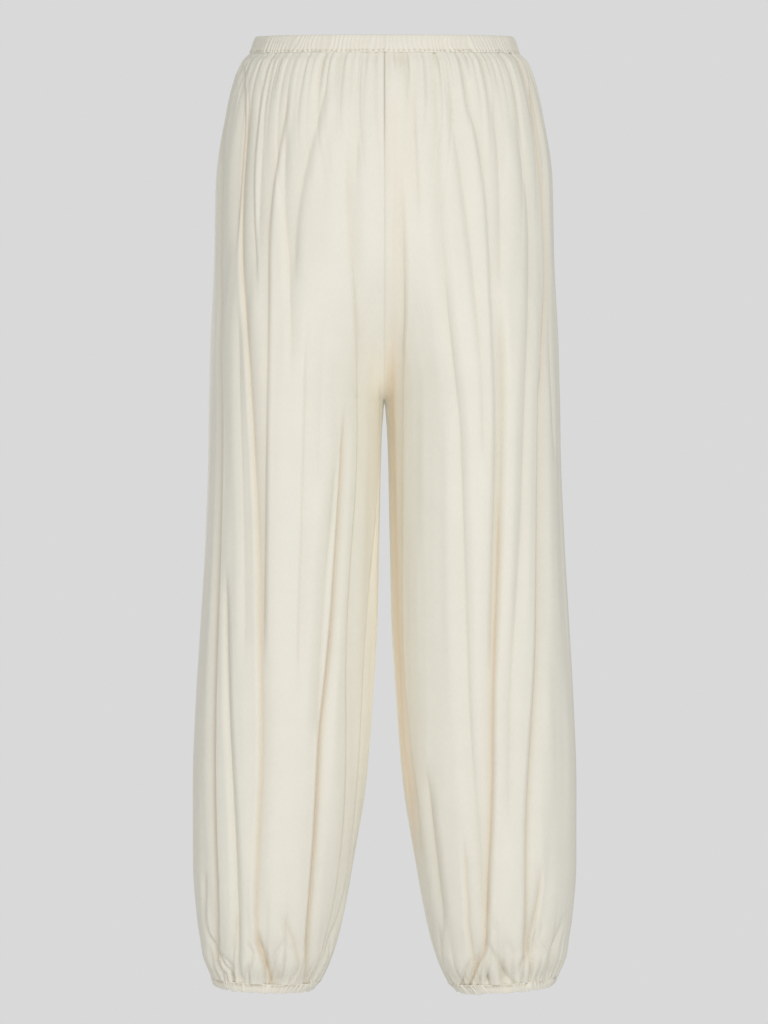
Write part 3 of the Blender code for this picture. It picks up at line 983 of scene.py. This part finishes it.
@dataclass(frozen=True)
class StitchRow:
    """A row of sewing stitches that runs round a casing."""

    name: str
    pitch: float = 2.6
    length: float = 2.0
    thread: float = 0.42
    lift: float = 0.05

    def build(self, line: np.ndarray, outward: np.ndarray, finish: bpy.types.Material
              ) -> bpy.types.Object:
        """Lay stitches end to end just above a line on the cloth.

        Args:
            line: Points of the line, in millimetres.
            outward: Outward direction at each point.
            finish: The thread's material.

        Returns:
            The finished piece.
        """
        line = line + outward * self.lift
        steps = np.linalg.norm(np.diff(line, axis=0), axis=1)
        along = np.concatenate(([0.0], np.cumsum(steps)))
        half = self.thread / 2.0
        mesh_data = bmesh.new()
        for k in range(int(along[-1] / self.pitch)):
            start = k * self.pitch
            ends = [Vector([np.interp(where, along, line[:, axis]) for axis in range(3)])
                    for where in (start, start + self.length)]
            face = Vector([np.interp(start, along, outward[:, axis]) for axis in range(3)])
            forward = (ends[1] - ends[0]).normalized()
            across = face.cross(forward).normalized()
            turn = Matrix((forward, across, forward.cross(across))).transposed().to_4x4()
            stretch = Matrix.Diagonal((self.length / 2.0, half, half, 1.0))
            place = Matrix.Translation((ends[0] + ends[1]) / 2.0 * MM)
            bmesh.ops.create_uvsphere(mesh_data, u_segments=6, v_segments=5, radius=MM,
                                      matrix=place @ turn @ stretch)
        piece = new_piece(self.name, mesh_data)
        piece.data.shade_smooth()
        piece.data.materials.append(finish)
        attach(piece, BODY)
        return piece


# Fold lines of the front, left and right, then like ones for the back. Each path gives pairs of
# a drop and a distance across. Then come the depth, and how far the trough reaches inwards and
# outwards from its line.
# The warm amount of a crease is painted warm shade along it, and its glow is how far that shade
# spreads
FRONT_LEFT_CREASES = (
    Crease(((20, 146), (34, 155), (66, 163), (109, 170), (150, 175), (193, 173), (310, 175),
            (417, 173), (533, 175), (662, 180), (794, 182), (894, 179), (932, 178), (980, 178),
            (1000, 168)), 4.0, 1.8, 6.0, warm_shade=0.35),
    Crease(((591, 169), (662, 168), (756, 165), (819, 161), (894, 158), (945, 156), (995, 155)),
           3.6, 3.0, 3.0, fade=70.0),
    Crease(((25, 149), (66, 149), (109, 151), (150, 155), (214, 158)), 2.2, 1.5, 7.0, warm_shade=0.2),
    Crease(((72, 145), (118, 150), (161, 152), (204, 154), (267, 151), (310, 148), (359, 144),
            (417, 142), (486, 138), (555, 135), (662, 133), (756, 130), (819, 133), (882, 136),
            (932, 137), (965, 135), (987, 127), (1007, 120)), 3.2, 7.0, 2.2, warm_shade=0.4, fade=70.0),
    Crease(((302, 156), (360, 155), (500, 151), (648, 149)), 1.6, 6.0, 4.0, fade=70.0),
    Crease(((55, 133), (87, 136), (129, 139), (161, 142), (193, 141), (224, 137), (256, 135)),
           1.8, 1.6, 8.0, fade=70.0),
    Crease(((34, 119), (66, 127), (108, 130), (140, 130), (172, 134), (213, 135)), 1.5, 8.0,
           1.8, fade=70.0),
    Crease(((70, 103), (92, 108), (109, 112), (140, 117), (172, 122), (213, 124), (310, 125),
            (417, 127), (486, 128), (555, 129), (648, 130)), 2.6, 2.2, 14.0, warm_shade=0.2, fade=70.0),
    Crease(((98, 104), (150, 108), (182, 108), (235, 103), (277, 100), (310, 101), (348, 99)),
           2.0, 7.0, 3.0, fade=60.0),
    Crease(((310, 82), (383, 84), (440, 85), (507, 87), (565, 88), (614, 91), (678, 91)), 1.8,
           7.0, 1.8, fade=70.0),
    Crease(((302, 66), (348, 68), (417, 68), (464, 72)), 1.2, 8.0, 8.0, fade=60.0),
    Crease(((51, 62), (72, 68), (100, 73), (125, 81), (150, 87), (176, 94), (204, 96), (250, 97)),
           2.6, 4.0, 11.0, fade=50.0),
    Crease(((129, 39), (172, 39), (213, 37), (256, 31), (310, 27), (440, 27), (510, 31),
            (579, 36), (662, 40), (718, 39), (794, 39), (844, 42), (894, 47), (939, 55),
            (977, 67), (1005, 77)), 2.8, 8.0, 2.6, warm_shade=0.05, fade=80.0),
    Crease(((30, 29), (66, 28), (98, 27), (118, 30), (140, 31)), 1.8, 3.0, 4.0),
    Crease(((426, 43), (464, 46), (510, 48), (555, 52), (602, 55), (662, 58), (693, 63),
            (743, 68), (794, 70), (857, 73), (894, 76), (944, 81), (1000, 84)), 4.2, 5.0, 1.8,
           warm_shade=0.75, fade=80.0, glow=2.0),
    Crease(((464, 51), (510, 56), (545, 61), (591, 64), (662, 68), (743, 71)), 2.4, 1.8, 6.0),
    Crease(((340, 4), (440, 5), (510, 9), (579, 14), (662, 21), (718, 23), (769, 26), (819, 29),
            (857, 33), (894, 39), (932, 47), (965, 59), (995, 72)), 1.6, 4.0, 3.0, fade=60.0),
    Crease(((898, 191), (927, 192), (953, 188), (968, 181), (985, 171), (1003, 160)), 2.4, 2.0,
           3.0, fade=20.0),
    Crease(((972, 178), (991, 161)), 1.8, 2.0, 2.0, fade=14.0),
    Crease(((941, 157), (970, 161), (1006, 161)), 2.2, 2.0, 3.0, fade=20.0),
    Crease(((968, 145), (978, 140), (1003, 148)), 2.2, 2.0, 2.0, fade=16.0),
    Crease(((960, 135), (982, 127), (1010, 120)), 3.4, 2.0, 4.0, warm_shade=0.4, fade=20.0),
    Crease(((966, 110), (982, 117), (1003, 118)), 2.2, 3.0, 2.0, fade=16.0),
    Crease(((941, 107), (970, 95), (989, 92), (1008, 100)), 2.6, 3.0, 5.0, warm_shade=0.2, fade=24.0),
)

FRONT_RIGHT_CREASES = (
    # The first two creases lay painted warm shade along the inner leg seam and the centre seam,
    # with hardly any depth
    Crease(((345, 8), (430, 10), (536, 12), (620, 14), (706, 18), (792, 25), (860, 36)), 0.6,
           4.0, 4.0, warm_shade=0.9, fade=120.0, glow=11.0),
    Crease(((60, 11), (200, 11), (392, 9)), 0.3, 4.0, 4.0, warm_shade=0.16, fade=80.0, glow=10.0),
    Crease(((50, 30), (66, 30), (109, 32), (140, 34), (185, 36)), 1.7, 5.0, 1.8, warm_shade=0.08,
           fade=70.0, glow=6.0),
    Crease(((170, 18), (204, 20), (267, 21), (310, 19), (406, 19), (486, 18),
            (602, 18), (662, 19), (743, 25), (794, 31), (860, 41)), 2.7, 9.0, 2.4, warm_shade=0.2,
           fade=110.0),
    Crease(((23, 53), (66, 55), (109, 57), (161, 55), (182, 58), (213, 63), (256, 65), (310, 67),
            (336, 70), (371, 78), (417, 80), (533, 84), (662, 88), (756, 92), (806, 96),
            (894, 103), (932, 105)), 2.8, 7.0, 4.0, fade=60.0),
    Crease(((55, 70), (87, 73), (129, 77), (172, 86), (213, 90), (267, 96), (310, 100),
            (348, 104), (394, 106), (440, 106)), 2.2, 3.0, 7.0, fade=50.0),
    Crease(((45, 86), (87, 92), (113, 102), (150, 107), (193, 111), (277, 114), (310, 116),
            (417, 120), (533, 117), (662, 114)), 2.4, 2.2, 7.0, fade=50.0),
    Crease(((302, 126), (394, 127), (464, 125), (500, 124)), 3.8, 8.0, 2.6, warm_shade=0.1,
           fade=90.0),
    Crease(((500, 124), (579, 121), (662, 117), (693, 115), (819, 115), (857, 112), (907, 109),
            (957, 108), (970, 107), (995, 96), (1010, 89)), 4.2, 9.0, 2.4, warm_shade=0.7,
           fade=90.0),
    Crease(((66, 117), (109, 118), (140, 124), (172, 124), (213, 123), (260, 124)), 2.2, 5.0, 5.0),
    Crease(((98, 140), (140, 149), (172, 154), (213, 155), (310, 153), (394, 150), (510, 147),
            (602, 141), (662, 136), (743, 134), (831, 133)), 2.4, 5.0, 5.0, fade=60.0),
    Crease(((51, 155), (87, 161), (129, 166), (172, 169), (256, 173), (310, 170), (371, 166)),
           3.4, 2.0, 7.0, warm_shade=0.6, fade=60.0, glow=4.0),
    Crease(((371, 166), (533, 165), (662, 163), (743, 158), (794, 154), (844, 152), (945, 152),
            (974, 152), (992, 144)), 3.6, 2.4, 7.0, warm_shade=0.25),
    Crease(((302, 175), (371, 177), (440, 181)), 1.6, 4.0, 4.0, fade=50.0),
    Crease(((794, 44), (844, 51), (882, 56), (915, 60), (945, 63)), 3.0, 6.0, 5.0, warm_shade=0.1,
           fade=50.0),
    Crease(((865, 84), (907, 88), (945, 89), (978, 94), (998, 98)), 2.4, 2.0, 5.0, warm_shade=0.3),
    Crease(((894, 169), (932, 163), (970, 154), (995, 155)), 2.6, 4.0, 2.0, warm_shade=0.3),
    Crease(((967, 132), (980, 137), (1005, 137)), 2.2, 2.0, 3.0, fade=16.0),
    Crease(((970, 112), (985, 121), (1000, 130), (1012, 142)), 3.4, 6.0, 2.2, fade=18.0),
    Crease(((944, 119), (978, 121), (1000, 127)), 1.6, 2.0, 2.0, fade=20.0),
    Crease(((944, 190), (967, 180), (987, 172), (1000, 169)), 2.2, 3.0, 3.0, fade=20.0),
    Crease(((955, 59), (975, 62), (995, 67)), 1.8, 2.0, 3.0, fade=20.0),
    Crease(((984, 93), (996, 86), (1012, 80)), 2.6, 1.5, 2.0, fade=14.0),
    Crease(((976, 101), (992, 95), (1014, 90)), 2.6, 2.0, 1.5, fade=14.0),
    Crease(((990, 104), (1014, 98)), 2.4, 1.5, 2.0, fade=12.0),
    Crease(((980, 113), (998, 110), (1014, 107)), 2.2, 1.5, 1.5, fade=14.0),
    Crease(((938, 158), (950, 164), (966, 160), (980, 166)), 1.4, 1.5, 2.0, fade=12.0),
    Crease(((946, 170), (960, 166), (976, 174)), 1.4, 2.0, 1.5, fade=12.0),
)

BACK_LEFT_CREASES = (
    Crease(((30, 38), (100, 40), (220, 44), (340, 40), (480, 36), (660, 44), (820, 52), (930, 66),
            (985, 76)), 3.4, 7.0, 2.4, warm_shade=0.3, fade=50.0),
    Crease(((25, 74), (100, 82), (220, 90), (340, 88), (480, 80), (700, 78)), 2.6, 2.2, 8.0,
           fade=60.0),
    Crease(((60, 110), (100, 118), (220, 126), (340, 124), (480, 118), (660, 112), (820, 106),
            (985, 102)), 3.6, 4.0, 3.0, warm_shade=0.6, fade=50.0),
    Crease(((20, 138), (100, 150), (220, 158), (340, 160), (480, 161), (660, 163), (820, 160),
            (980, 152)), 3.4, 1.8, 6.0, warm_shade=0.3),
    Crease(((480, 60), (660, 70), (820, 82), (930, 90), (995, 94)), 3.4, 4.5, 1.8, warm_shade=0.5,
           fade=60.0),
    Crease(((140, 60), (260, 62), (380, 58), (470, 52)), 1.8, 6.0, 6.0, fade=70.0),
    Crease(((300, 140), (450, 143), (600, 140), (760, 136)), 2.2, 6.0, 4.0, fade=80.0),
    Crease(((40, 20), (110, 21), (200, 22)), 1.8, 4.0, 3.0, fade=50.0),
    Crease(((930, 128), (965, 124), (1004, 118)), 2.6, 2.0, 4.0, fade=24.0),
    Crease(((940, 152), (970, 146), (1002, 138)), 2.2, 3.0, 2.0, fade=24.0),
    Crease(((950, 104), (985, 110), (1004, 112)), 2.2, 2.0, 3.0, fade=20.0),
)

BACK_RIGHT_CREASES = (
    Crease(((25, 26), (100, 30), (220, 36), (340, 38), (480, 34), (660, 38), (820, 46), (930, 62),
            (985, 74)), 3.4, 7.0, 2.4, warm_shade=0.3, fade=50.0),
    Crease(((50, 60), (100, 68), (220, 80), (340, 84), (480, 76), (640, 72)), 2.6, 7.0, 2.2,
           fade=60.0),
    Crease(((30, 94), (100, 104), (220, 112), (340, 110), (480, 104), (660, 98), (820, 96),
            (985, 98)), 3.4, 2.4, 6.0, warm_shade=0.4, fade=50.0),
    Crease(((120, 134), (220, 142), (340, 144), (480, 142), (660, 138), (800, 132)), 2.6, 5.0,
           5.0, fade=60.0),
    Crease(((20, 144), (100, 158), (220, 167), (340, 168), (480, 168), (660, 172), (820, 172),
            (985, 164)), 3.6, 1.8, 6.0, warm_shade=0.5),
    Crease(((520, 56), (660, 62), (800, 74), (900, 84), (995, 92)), 2.8, 4.5, 2.0, warm_shade=0.4,
           fade=70.0),
    Crease(((280, 122), (420, 124), (560, 120), (720, 116)), 2.0, 4.0, 7.0, fade=80.0),
    Crease(((45, 120), (110, 128), (190, 130)), 2.0, 4.0, 4.0, fade=50.0),
    Crease(((935, 120), (970, 126), (1004, 130)), 2.4, 4.0, 2.0, fade=24.0),
    Crease(((945, 150), (975, 154), (1003, 150)), 2.2, 2.0, 3.0, fade=24.0),
)


def new_material(name: str, roughness: float) -> tuple[bpy.types.Material, bpy.types.Node]:
    """Start a material.

    Args:
        name: The material's name.
        roughness: How rough its surface is.

    Returns:
        The material and its shader.
    """
    material = bpy.data.materials.new(name)
    material.use_nodes = True
    shader = material.node_tree.nodes["Principled BSDF"]
    shader.inputs["Roughness"].default_value = roughness
    return material, shader


@dataclass(frozen=True)
class ClothFinish:
    """Soft plain-weave cloth, with painted shade and painted warm shade in its folds."""

    name: str
    colour: tuple[float, float, float]
    trough_colour: tuple[float, float, float]
    core_colour: tuple[float, float, float]
    warm_shade_colour: tuple[float, float, float]
    roughness: float
    sheen: float = 0.08
    sheen_roughness: float = 0.5
    specular: float = 0.25
    thread_spacing: float = 0.00042
    bump: float = 0.5
    bump_height: float = 0.08

    def material(self, weave: bpy.types.NodeTree, tint: bpy.types.NodeTree) -> bpy.types.Material:
        """Build the material.

        Args:
            weave: The weave's node group.
            tint: The node group that paints shade and light into the cloth's colour.

        Returns:
            The new material.
        """
        material, shader = new_material(self.name, self.roughness)
        tree = material.node_tree
        shader.inputs["Metallic"].default_value = 0.0
        shader.inputs["Sheen Weight"].default_value = self.sheen
        shader.inputs["Sheen Roughness"].default_value = self.sheen_roughness
        shader.inputs["Specular IOR Level"].default_value = self.specular
        cloth = tree.nodes.new("ShaderNodeUVMap")
        cloth.uv_map = "cloth"
        threads = tree.nodes.new("ShaderNodeGroup")
        threads.node_tree = weave
        threads.inputs["Thread Spacing"].default_value = self.thread_spacing
        colours = tree.nodes.new("ShaderNodeGroup")
        colours.node_tree = tint
        colours.inputs["Cloth"].default_value = (*self.colour, 1.0)
        colours.inputs["Trough Shade Colour"].default_value = (*self.trough_colour, 1.0)
        colours.inputs["Core Shade Colour"].default_value = (*self.core_colour, 1.0)
        colours.inputs["Warm Shade Colour"].default_value = (*self.warm_shade_colour, 1.0)
        # Masks of painted shade in the troughs, painted warm shade, painted dark shade at the
        # crease cores, and painted light near the inner seam
        for field, socket in (("trough", "Trough"), ("warmth", "Warmth"), ("core", "Core"),
                              ("lit", "Lit")):
            reader = tree.nodes.new("ShaderNodeAttribute")
            reader.attribute_name = field
            tree.links.new(reader.outputs["Fac"], colours.inputs[socket])
        bump = tree.nodes.new("ShaderNodeBump")
        bump.inputs["Strength"].default_value = self.bump
        bump.inputs["Distance"].default_value = self.bump_height * MM
        tree.links.new(cloth.outputs["UV"], threads.inputs["Cloth"])
        tree.links.new(threads.outputs["Shade"], colours.inputs["Shade"])
        tree.links.new(colours.outputs["Colour"], shader.inputs["Base Color"])
        tree.links.new(threads.outputs["Height"], bump.inputs["Height"])
        tree.links.new(bump.outputs["Normal"], shader.inputs["Normal"])
        return material


@dataclass(frozen=True)
class ThreadFinish:
    """Spun sewing thread."""

    name: str
    colour: tuple[float, float, float]
    roughness: float
    twist_scale: float = 900.0
    twist_shade: float = 0.82

    def material(self) -> bpy.types.Material:
        """Build the material, with the twist of the thread as fine bands."""
        material, shader = new_material(self.name, self.roughness)
        tree = material.node_tree
        place = tree.nodes.new("ShaderNodeTexCoord")
        twist = tree.nodes.new("ShaderNodeTexWave")
        twist.bands_direction = "DIAGONAL"
        twist.inputs["Scale"].default_value = self.twist_scale
        shades = tree.nodes.new("ShaderNodeValToRGB")
        darker = [part * self.twist_shade for part in self.colour]
        shades.color_ramp.elements[0].color = (*darker, 1.0)
        shades.color_ramp.elements[1].color = (*self.colour, 1.0)
        tree.links.new(place.outputs["Object"], twist.inputs["Vector"])
        tree.links.new(twist.outputs["Fac"], shades.inputs["Fac"])
        tree.links.new(shades.outputs["Color"], shader.inputs["Base Color"])
        return material


def new_group(name: str, inputs: dict[str, str], outputs: dict[str, str]) -> bpy.types.NodeTree:
    """Start a shader node group.

    Args:
        name: The group's name.
        inputs: Socket type of each named input.
        outputs: Socket type of each named output.

    Returns:
        The group, with its input and output nodes.
    """
    group = bpy.data.node_groups.new(name, "ShaderNodeTree")
    for socket, kind in inputs.items():
        group.interface.new_socket(socket, in_out="INPUT", socket_type=kind)
    for socket, kind in outputs.items():
        group.interface.new_socket(socket, in_out="OUTPUT", socket_type=kind)
    group.nodes.new("NodeGroupInput")
    group.nodes.new("NodeGroupOutput")
    return group


def weave_group() -> bpy.types.NodeTree:
    """Plain weave: warp and weft that pass over and under, with uneven threads."""
    group = new_group("plain_weave",
                      {"Cloth": "NodeSocketVector", "Thread Spacing": "NodeSocketFloat"},
                      {"Height": "NodeSocketFloat", "Shade": "NodeSocketFloat"})
    nodes = group.nodes
    links = group.links
    start = nodes["Group Input"]
    end = nodes["Group Output"]

    def math_node(operation: str, *values: bpy.types.NodeSocket | float) -> bpy.types.NodeSocket:
        """Add a Math node and wire or set its inputs."""
        node = nodes.new("ShaderNodeMath")
        node.operation = operation
        for socket, value in zip(node.inputs, values):
            if isinstance(value, bpy.types.NodeSocket):
                links.new(value, socket)
            else:
                socket.default_value = value
        return node.outputs[0]

    split = nodes.new("ShaderNodeSeparateXYZ")
    links.new(start.outputs["Cloth"], split.inputs[0])
    turns = [math_node("MULTIPLY", math_node("DIVIDE", split.outputs[axis],
                                             start.outputs["Thread Spacing"]), math.pi)
             for axis in (0, 1)]
    crossing = math_node("MULTIPLY", math_node("SINE", turns[0]), math_node("SINE", turns[1]))
    slubs = nodes.new("ShaderNodeTexNoise")
    slubs.inputs["Scale"].default_value = SLUB_SCALE
    slubs.inputs["Detail"].default_value = 3.0
    stretch = nodes.new("ShaderNodeMapping")
    stretch.inputs["Scale"].default_value = (1.0, 0.22, 1.0)
    links.new(start.outputs["Cloth"], stretch.inputs["Vector"])
    links.new(stretch.outputs["Vector"], slubs.inputs["Vector"])
    mixed = math_node("ADD", math_node("MULTIPLY", crossing, 0.5), slubs.outputs["Fac"])
    links.new(mixed, end.inputs["Height"])
    clouds = nodes.new("ShaderNodeTexNoise")
    clouds.inputs["Scale"].default_value = CLOUD_SCALE
    clouds.inputs["Detail"].default_value = 2.0
    links.new(start.outputs["Cloth"], clouds.inputs["Vector"])
    shade = math_node("ADD", math_node("MULTIPLY", slubs.outputs["Fac"], SLUB_SHADE),
                      math_node("MULTIPLY", clouds.outputs["Fac"], CLOUD_SHADE))
    links.new(math_node("ADD", shade, PLAIN_SHADE), end.inputs["Shade"])
    return group


def fold_shade_group() -> bpy.types.NodeTree:
    """Colour of the cloth in the open, with painted shade in its troughs and crease cores, painted
    warm shade beside creases, and painted light where light glows through a fold.
    """
    group = new_group("fold_shade",
                      {"Cloth": "NodeSocketColor", "Trough Shade Colour": "NodeSocketColor",
                       "Warm Shade Colour": "NodeSocketColor", "Core Shade Colour": "NodeSocketColor",
                       "Trough": "NodeSocketFloat", "Warmth": "NodeSocketFloat",
                       "Core": "NodeSocketFloat", "Lit": "NodeSocketFloat",
                       "Shade": "NodeSocketFloat"},
                      {"Colour": "NodeSocketColor"})
    nodes = group.nodes
    links = group.links
    start = nodes["Group Input"]
    end = nodes["Group Output"]
    colour = start.outputs["Cloth"]
    # Painted shade: mix towards the trough, warm and core shade colours by their masks
    for amount, target in (("Trough", "Trough Shade Colour"), ("Warmth", "Warm Shade Colour"),
                           ("Core", "Core Shade Colour")):
        mix = nodes.new("ShaderNodeMix")
        mix.data_type = "RGBA"
        links.new(start.outputs[amount], mix.inputs["Factor"])
        links.new(colour, mix.inputs[6])
        links.new(start.outputs[target], mix.inputs[7])
        colour = mix.outputs[2]
    lighter = nodes.new("ShaderNodeMath")
    lighter.operation = "MULTIPLY_ADD"
    links.new(start.outputs["Lit"], lighter.inputs[0])
    lighter.inputs[1].default_value = LIT_GAIN
    lighter.inputs[2].default_value = 1.0
    shade = nodes.new("ShaderNodeMath")
    shade.operation = "MULTIPLY"
    links.new(start.outputs["Shade"], shade.inputs[0])
    links.new(lighter.outputs[0], shade.inputs[1])
    shaded = nodes.new("ShaderNodeVectorMath")
    shaded.operation = "SCALE"
    links.new(colour, shaded.inputs[0])
    links.new(shade.outputs[0], shaded.inputs["Scale"])
    links.new(shaded.outputs["Vector"], end.inputs["Colour"])
    return group


@dataclass(frozen=True)
class Lamp:
    """One soft studio light."""

    name: str
    place: tuple[float, float, float]
    size: float
    power: float


@dataclass(frozen=True)
class Studio:
    """A pale floor, even soft light and the camera."""

    backdrop: float = 0.694
    ambient: float = 0.46
    floor_drop: float = 1400.0
    floor_radius: float = 1.45
    floor_tone: float = 0.72
    floor_roughness: float = 0.8
    lens: float = 85.75
    lamps: tuple[Lamp, ...] = (
        Lamp("key", (1.3, -2.9, 0.25), 1.2, 40.0),
        Lamp("fill", (-2.3, -2.2, -0.4), 1.6, 17.0),
        Lamp("front", (0.0, -3.2, -0.45), 0.6, 8.0),
        Lamp("rear", (-0.9, 3.0, 0.3), 2.0, 45.0),
    )

    def build(self) -> None:
        """Set up everything that isn't part of the garment."""
        scene = bpy.context.scene
        scene.view_settings.view_transform = "Standard"
        self.build_world(scene)
        self.build_floor()
        for lamp in self.lamps:
            self.build_lamp(scene, lamp)
        camera_data = bpy.data.cameras.new("camera")
        camera_data.lens = self.lens
        camera = bpy.data.objects.new("camera", camera_data)
        camera.location = Vector((EYE_ACROSS, -EYE_DISTANCE, -EYE_DROP)) * MM
        camera.rotation_euler = (math.pi / 2.0, 0.0, 0.0)
        scene.collection.objects.link(camera)
        scene.camera = camera

    def build_world(self, scene: bpy.types.Scene) -> None:
        """Show the pale backdrop, and light the garment with a dimmer, even surround."""
        world = bpy.data.worlds.new("backdrop")
        world.use_nodes = True
        nodes = world.node_tree.nodes
        links = world.node_tree.links
        shown = nodes["Background"]
        shown.inputs["Color"].default_value = (self.backdrop,) * 3 + (1.0,)
        surround = nodes.new("ShaderNodeBackground")
        surround.inputs["Color"].default_value = (self.ambient,) * 3 + (1.0,)
        rays = nodes.new("ShaderNodeLightPath")
        mix = nodes.new("ShaderNodeMixShader")
        links.new(rays.outputs["Is Camera Ray"], mix.inputs["Fac"])
        links.new(surround.outputs["Background"], mix.inputs[1])
        links.new(shown.outputs["Background"], mix.inputs[2])
        links.new(mix.outputs["Shader"], nodes["World Output"].inputs["Surface"])
        scene.world = world

    def build_floor(self) -> None:
        """Lay the round floor well below the hems."""
        mesh_data = bmesh.new()
        bmesh.ops.create_circle(mesh_data, cap_ends=True, segments=96, radius=self.floor_radius)
        bmesh.ops.translate(mesh_data, verts=mesh_data.verts, vec=(0, 0, -self.floor_drop * MM))
        floor = new_piece("floor", mesh_data)
        material, shader = new_material("pale_floor", self.floor_roughness)
        shader.inputs["Base Color"].default_value = (self.floor_tone,) * 3 + (1.0,)
        floor.data.materials.append(material)

    def build_lamp(self, scene: bpy.types.Scene, lamp: Lamp) -> None:
        """Hang one square light that faces the middle of the garment."""
        light = bpy.data.lights.new(lamp.name, "AREA")
        light.shape = "SQUARE"
        light.size = lamp.size
        light.energy = lamp.power
        holder = bpy.data.objects.new(lamp.name, light)
        holder.location = lamp.place
        middle = Vector((0.0, 0.0, -EYE_DROP * MM))
        holder.rotation_euler = (middle - Vector(lamp.place)).to_track_quat("-Z", "Y").to_euler()
        scene.collection.objects.link(holder)


class Trousers:
    """The whole garment: four panels, three casings and their stitching."""

    # Far more than a casing's height: it keeps the inner face out of the search for a level
    INNER_PENALTY = 99.0

    # Each panel's creases, its seed, and how deep the gathers under the waistband are
    PANELS = {
        (Side.LEFT, Face.FRONT): (FRONT_LEFT_CREASES, 11, 0.72),
        (Side.RIGHT, Face.FRONT): (FRONT_RIGHT_CREASES, 23, 1.1),
        (Side.LEFT, Face.BACK): (BACK_LEFT_CREASES, 37, 1.0),
        (Side.RIGHT, Face.BACK): (BACK_RIGHT_CREASES, 41, 1.0),
    }

    def __init__(self) -> None:
        """Set out the form and the finishes."""
        self.form = TrouserForm()
        weave = weave_group()
        tint = fold_shade_group()
        # The trough, core and warm colours of each finish are painted shade: darker and warmer
        # cloth in the folds
        cloth = ClothFinish("ivory_cloth_finish", colour=(0.80, 0.775, 0.682),
                            trough_colour=(0.74, 0.71, 0.605), core_colour=(0.50, 0.43, 0.32),
                            warm_shade_colour=(0.80, 0.655, 0.485), roughness=0.7)
        casing = ClothFinish("ivory_casing_finish", colour=(0.80, 0.77, 0.675),
                             trough_colour=(0.72, 0.68, 0.57), core_colour=(0.50, 0.43, 0.32),
                             warm_shade_colour=(0.78, 0.68, 0.56), roughness=0.74)
        self.cloth = cloth.material(weave, tint)
        self.casing = casing.material(weave, tint)
        self.thread = ThreadFinish("ivory_thread", (0.78, 0.75, 0.66), 0.6).material()

    def build(self) -> None:
        """Make every piece in order."""
        for (side, face), (creases, seed, gathering) in self.PANELS.items():
            LegPanel(self.form, side, face, creases, seed, gathering).build(self.cloth)
        waist = Casing(self.form, "waist_casing", "waistband", top=0.0,
                       tall=self.form.band_height, sides=(Side.RIGHT, Side.LEFT),
                       quarter_columns=400, ridge_spacing=4.9, ridge_height=0.9,
                       cut=(1.0, 0.022), seed=61)
        self.sew(waist)
        for side, seed in ((Side.LEFT, 67), (Side.RIGHT, 71)):
            name = f"cuff_{side.name.lower()}"
            cuff = Casing(self.form, f"{name}_casing", name, top=self.form.cuff_top,
                          tall=self.form.cuff_height, sides=(side,), quarter_columns=300,
                          ridge_spacing=4.4, ridge_height=1.1, cut=(0.42, 0.011), seed=seed,
                          profile_points=22, outer_half=1.3, inner_half=1.2, stitch_up=7.4,
                          raggedness=1.0, wobble=1.3, unevenness=0.8)
            self.sew(cuff)

    def sew(self, casing: Casing) -> None:
        """Args:
            casing: The casing.
        """
        piece, points = casing.build(self.casing)
        out, up = casing.profile()
        away = np.abs(up + casing.tall / 2.0 - casing.stitch_up)
        away = away + np.where(out < 0.0, self.INNER_PENALTY, 0.0)
        row = int(np.argmin(away))
        outward = casing.ring(np.array([casing.top + casing.tall / 2.0 - up[row]]))[1][0]
        row_of_stitches = StitchRow(f"{casing.name}_stitches")
        stitches = row_of_stitches.build(points[row], outward, self.thread)


def main() -> None:
    """Build the studio and the garment."""
    logging.basicConfig(level=logging.INFO, format="%(name)s: %(message)s")
    Studio().build()
    Trousers().build()


if __name__ == "__main__":
    main()
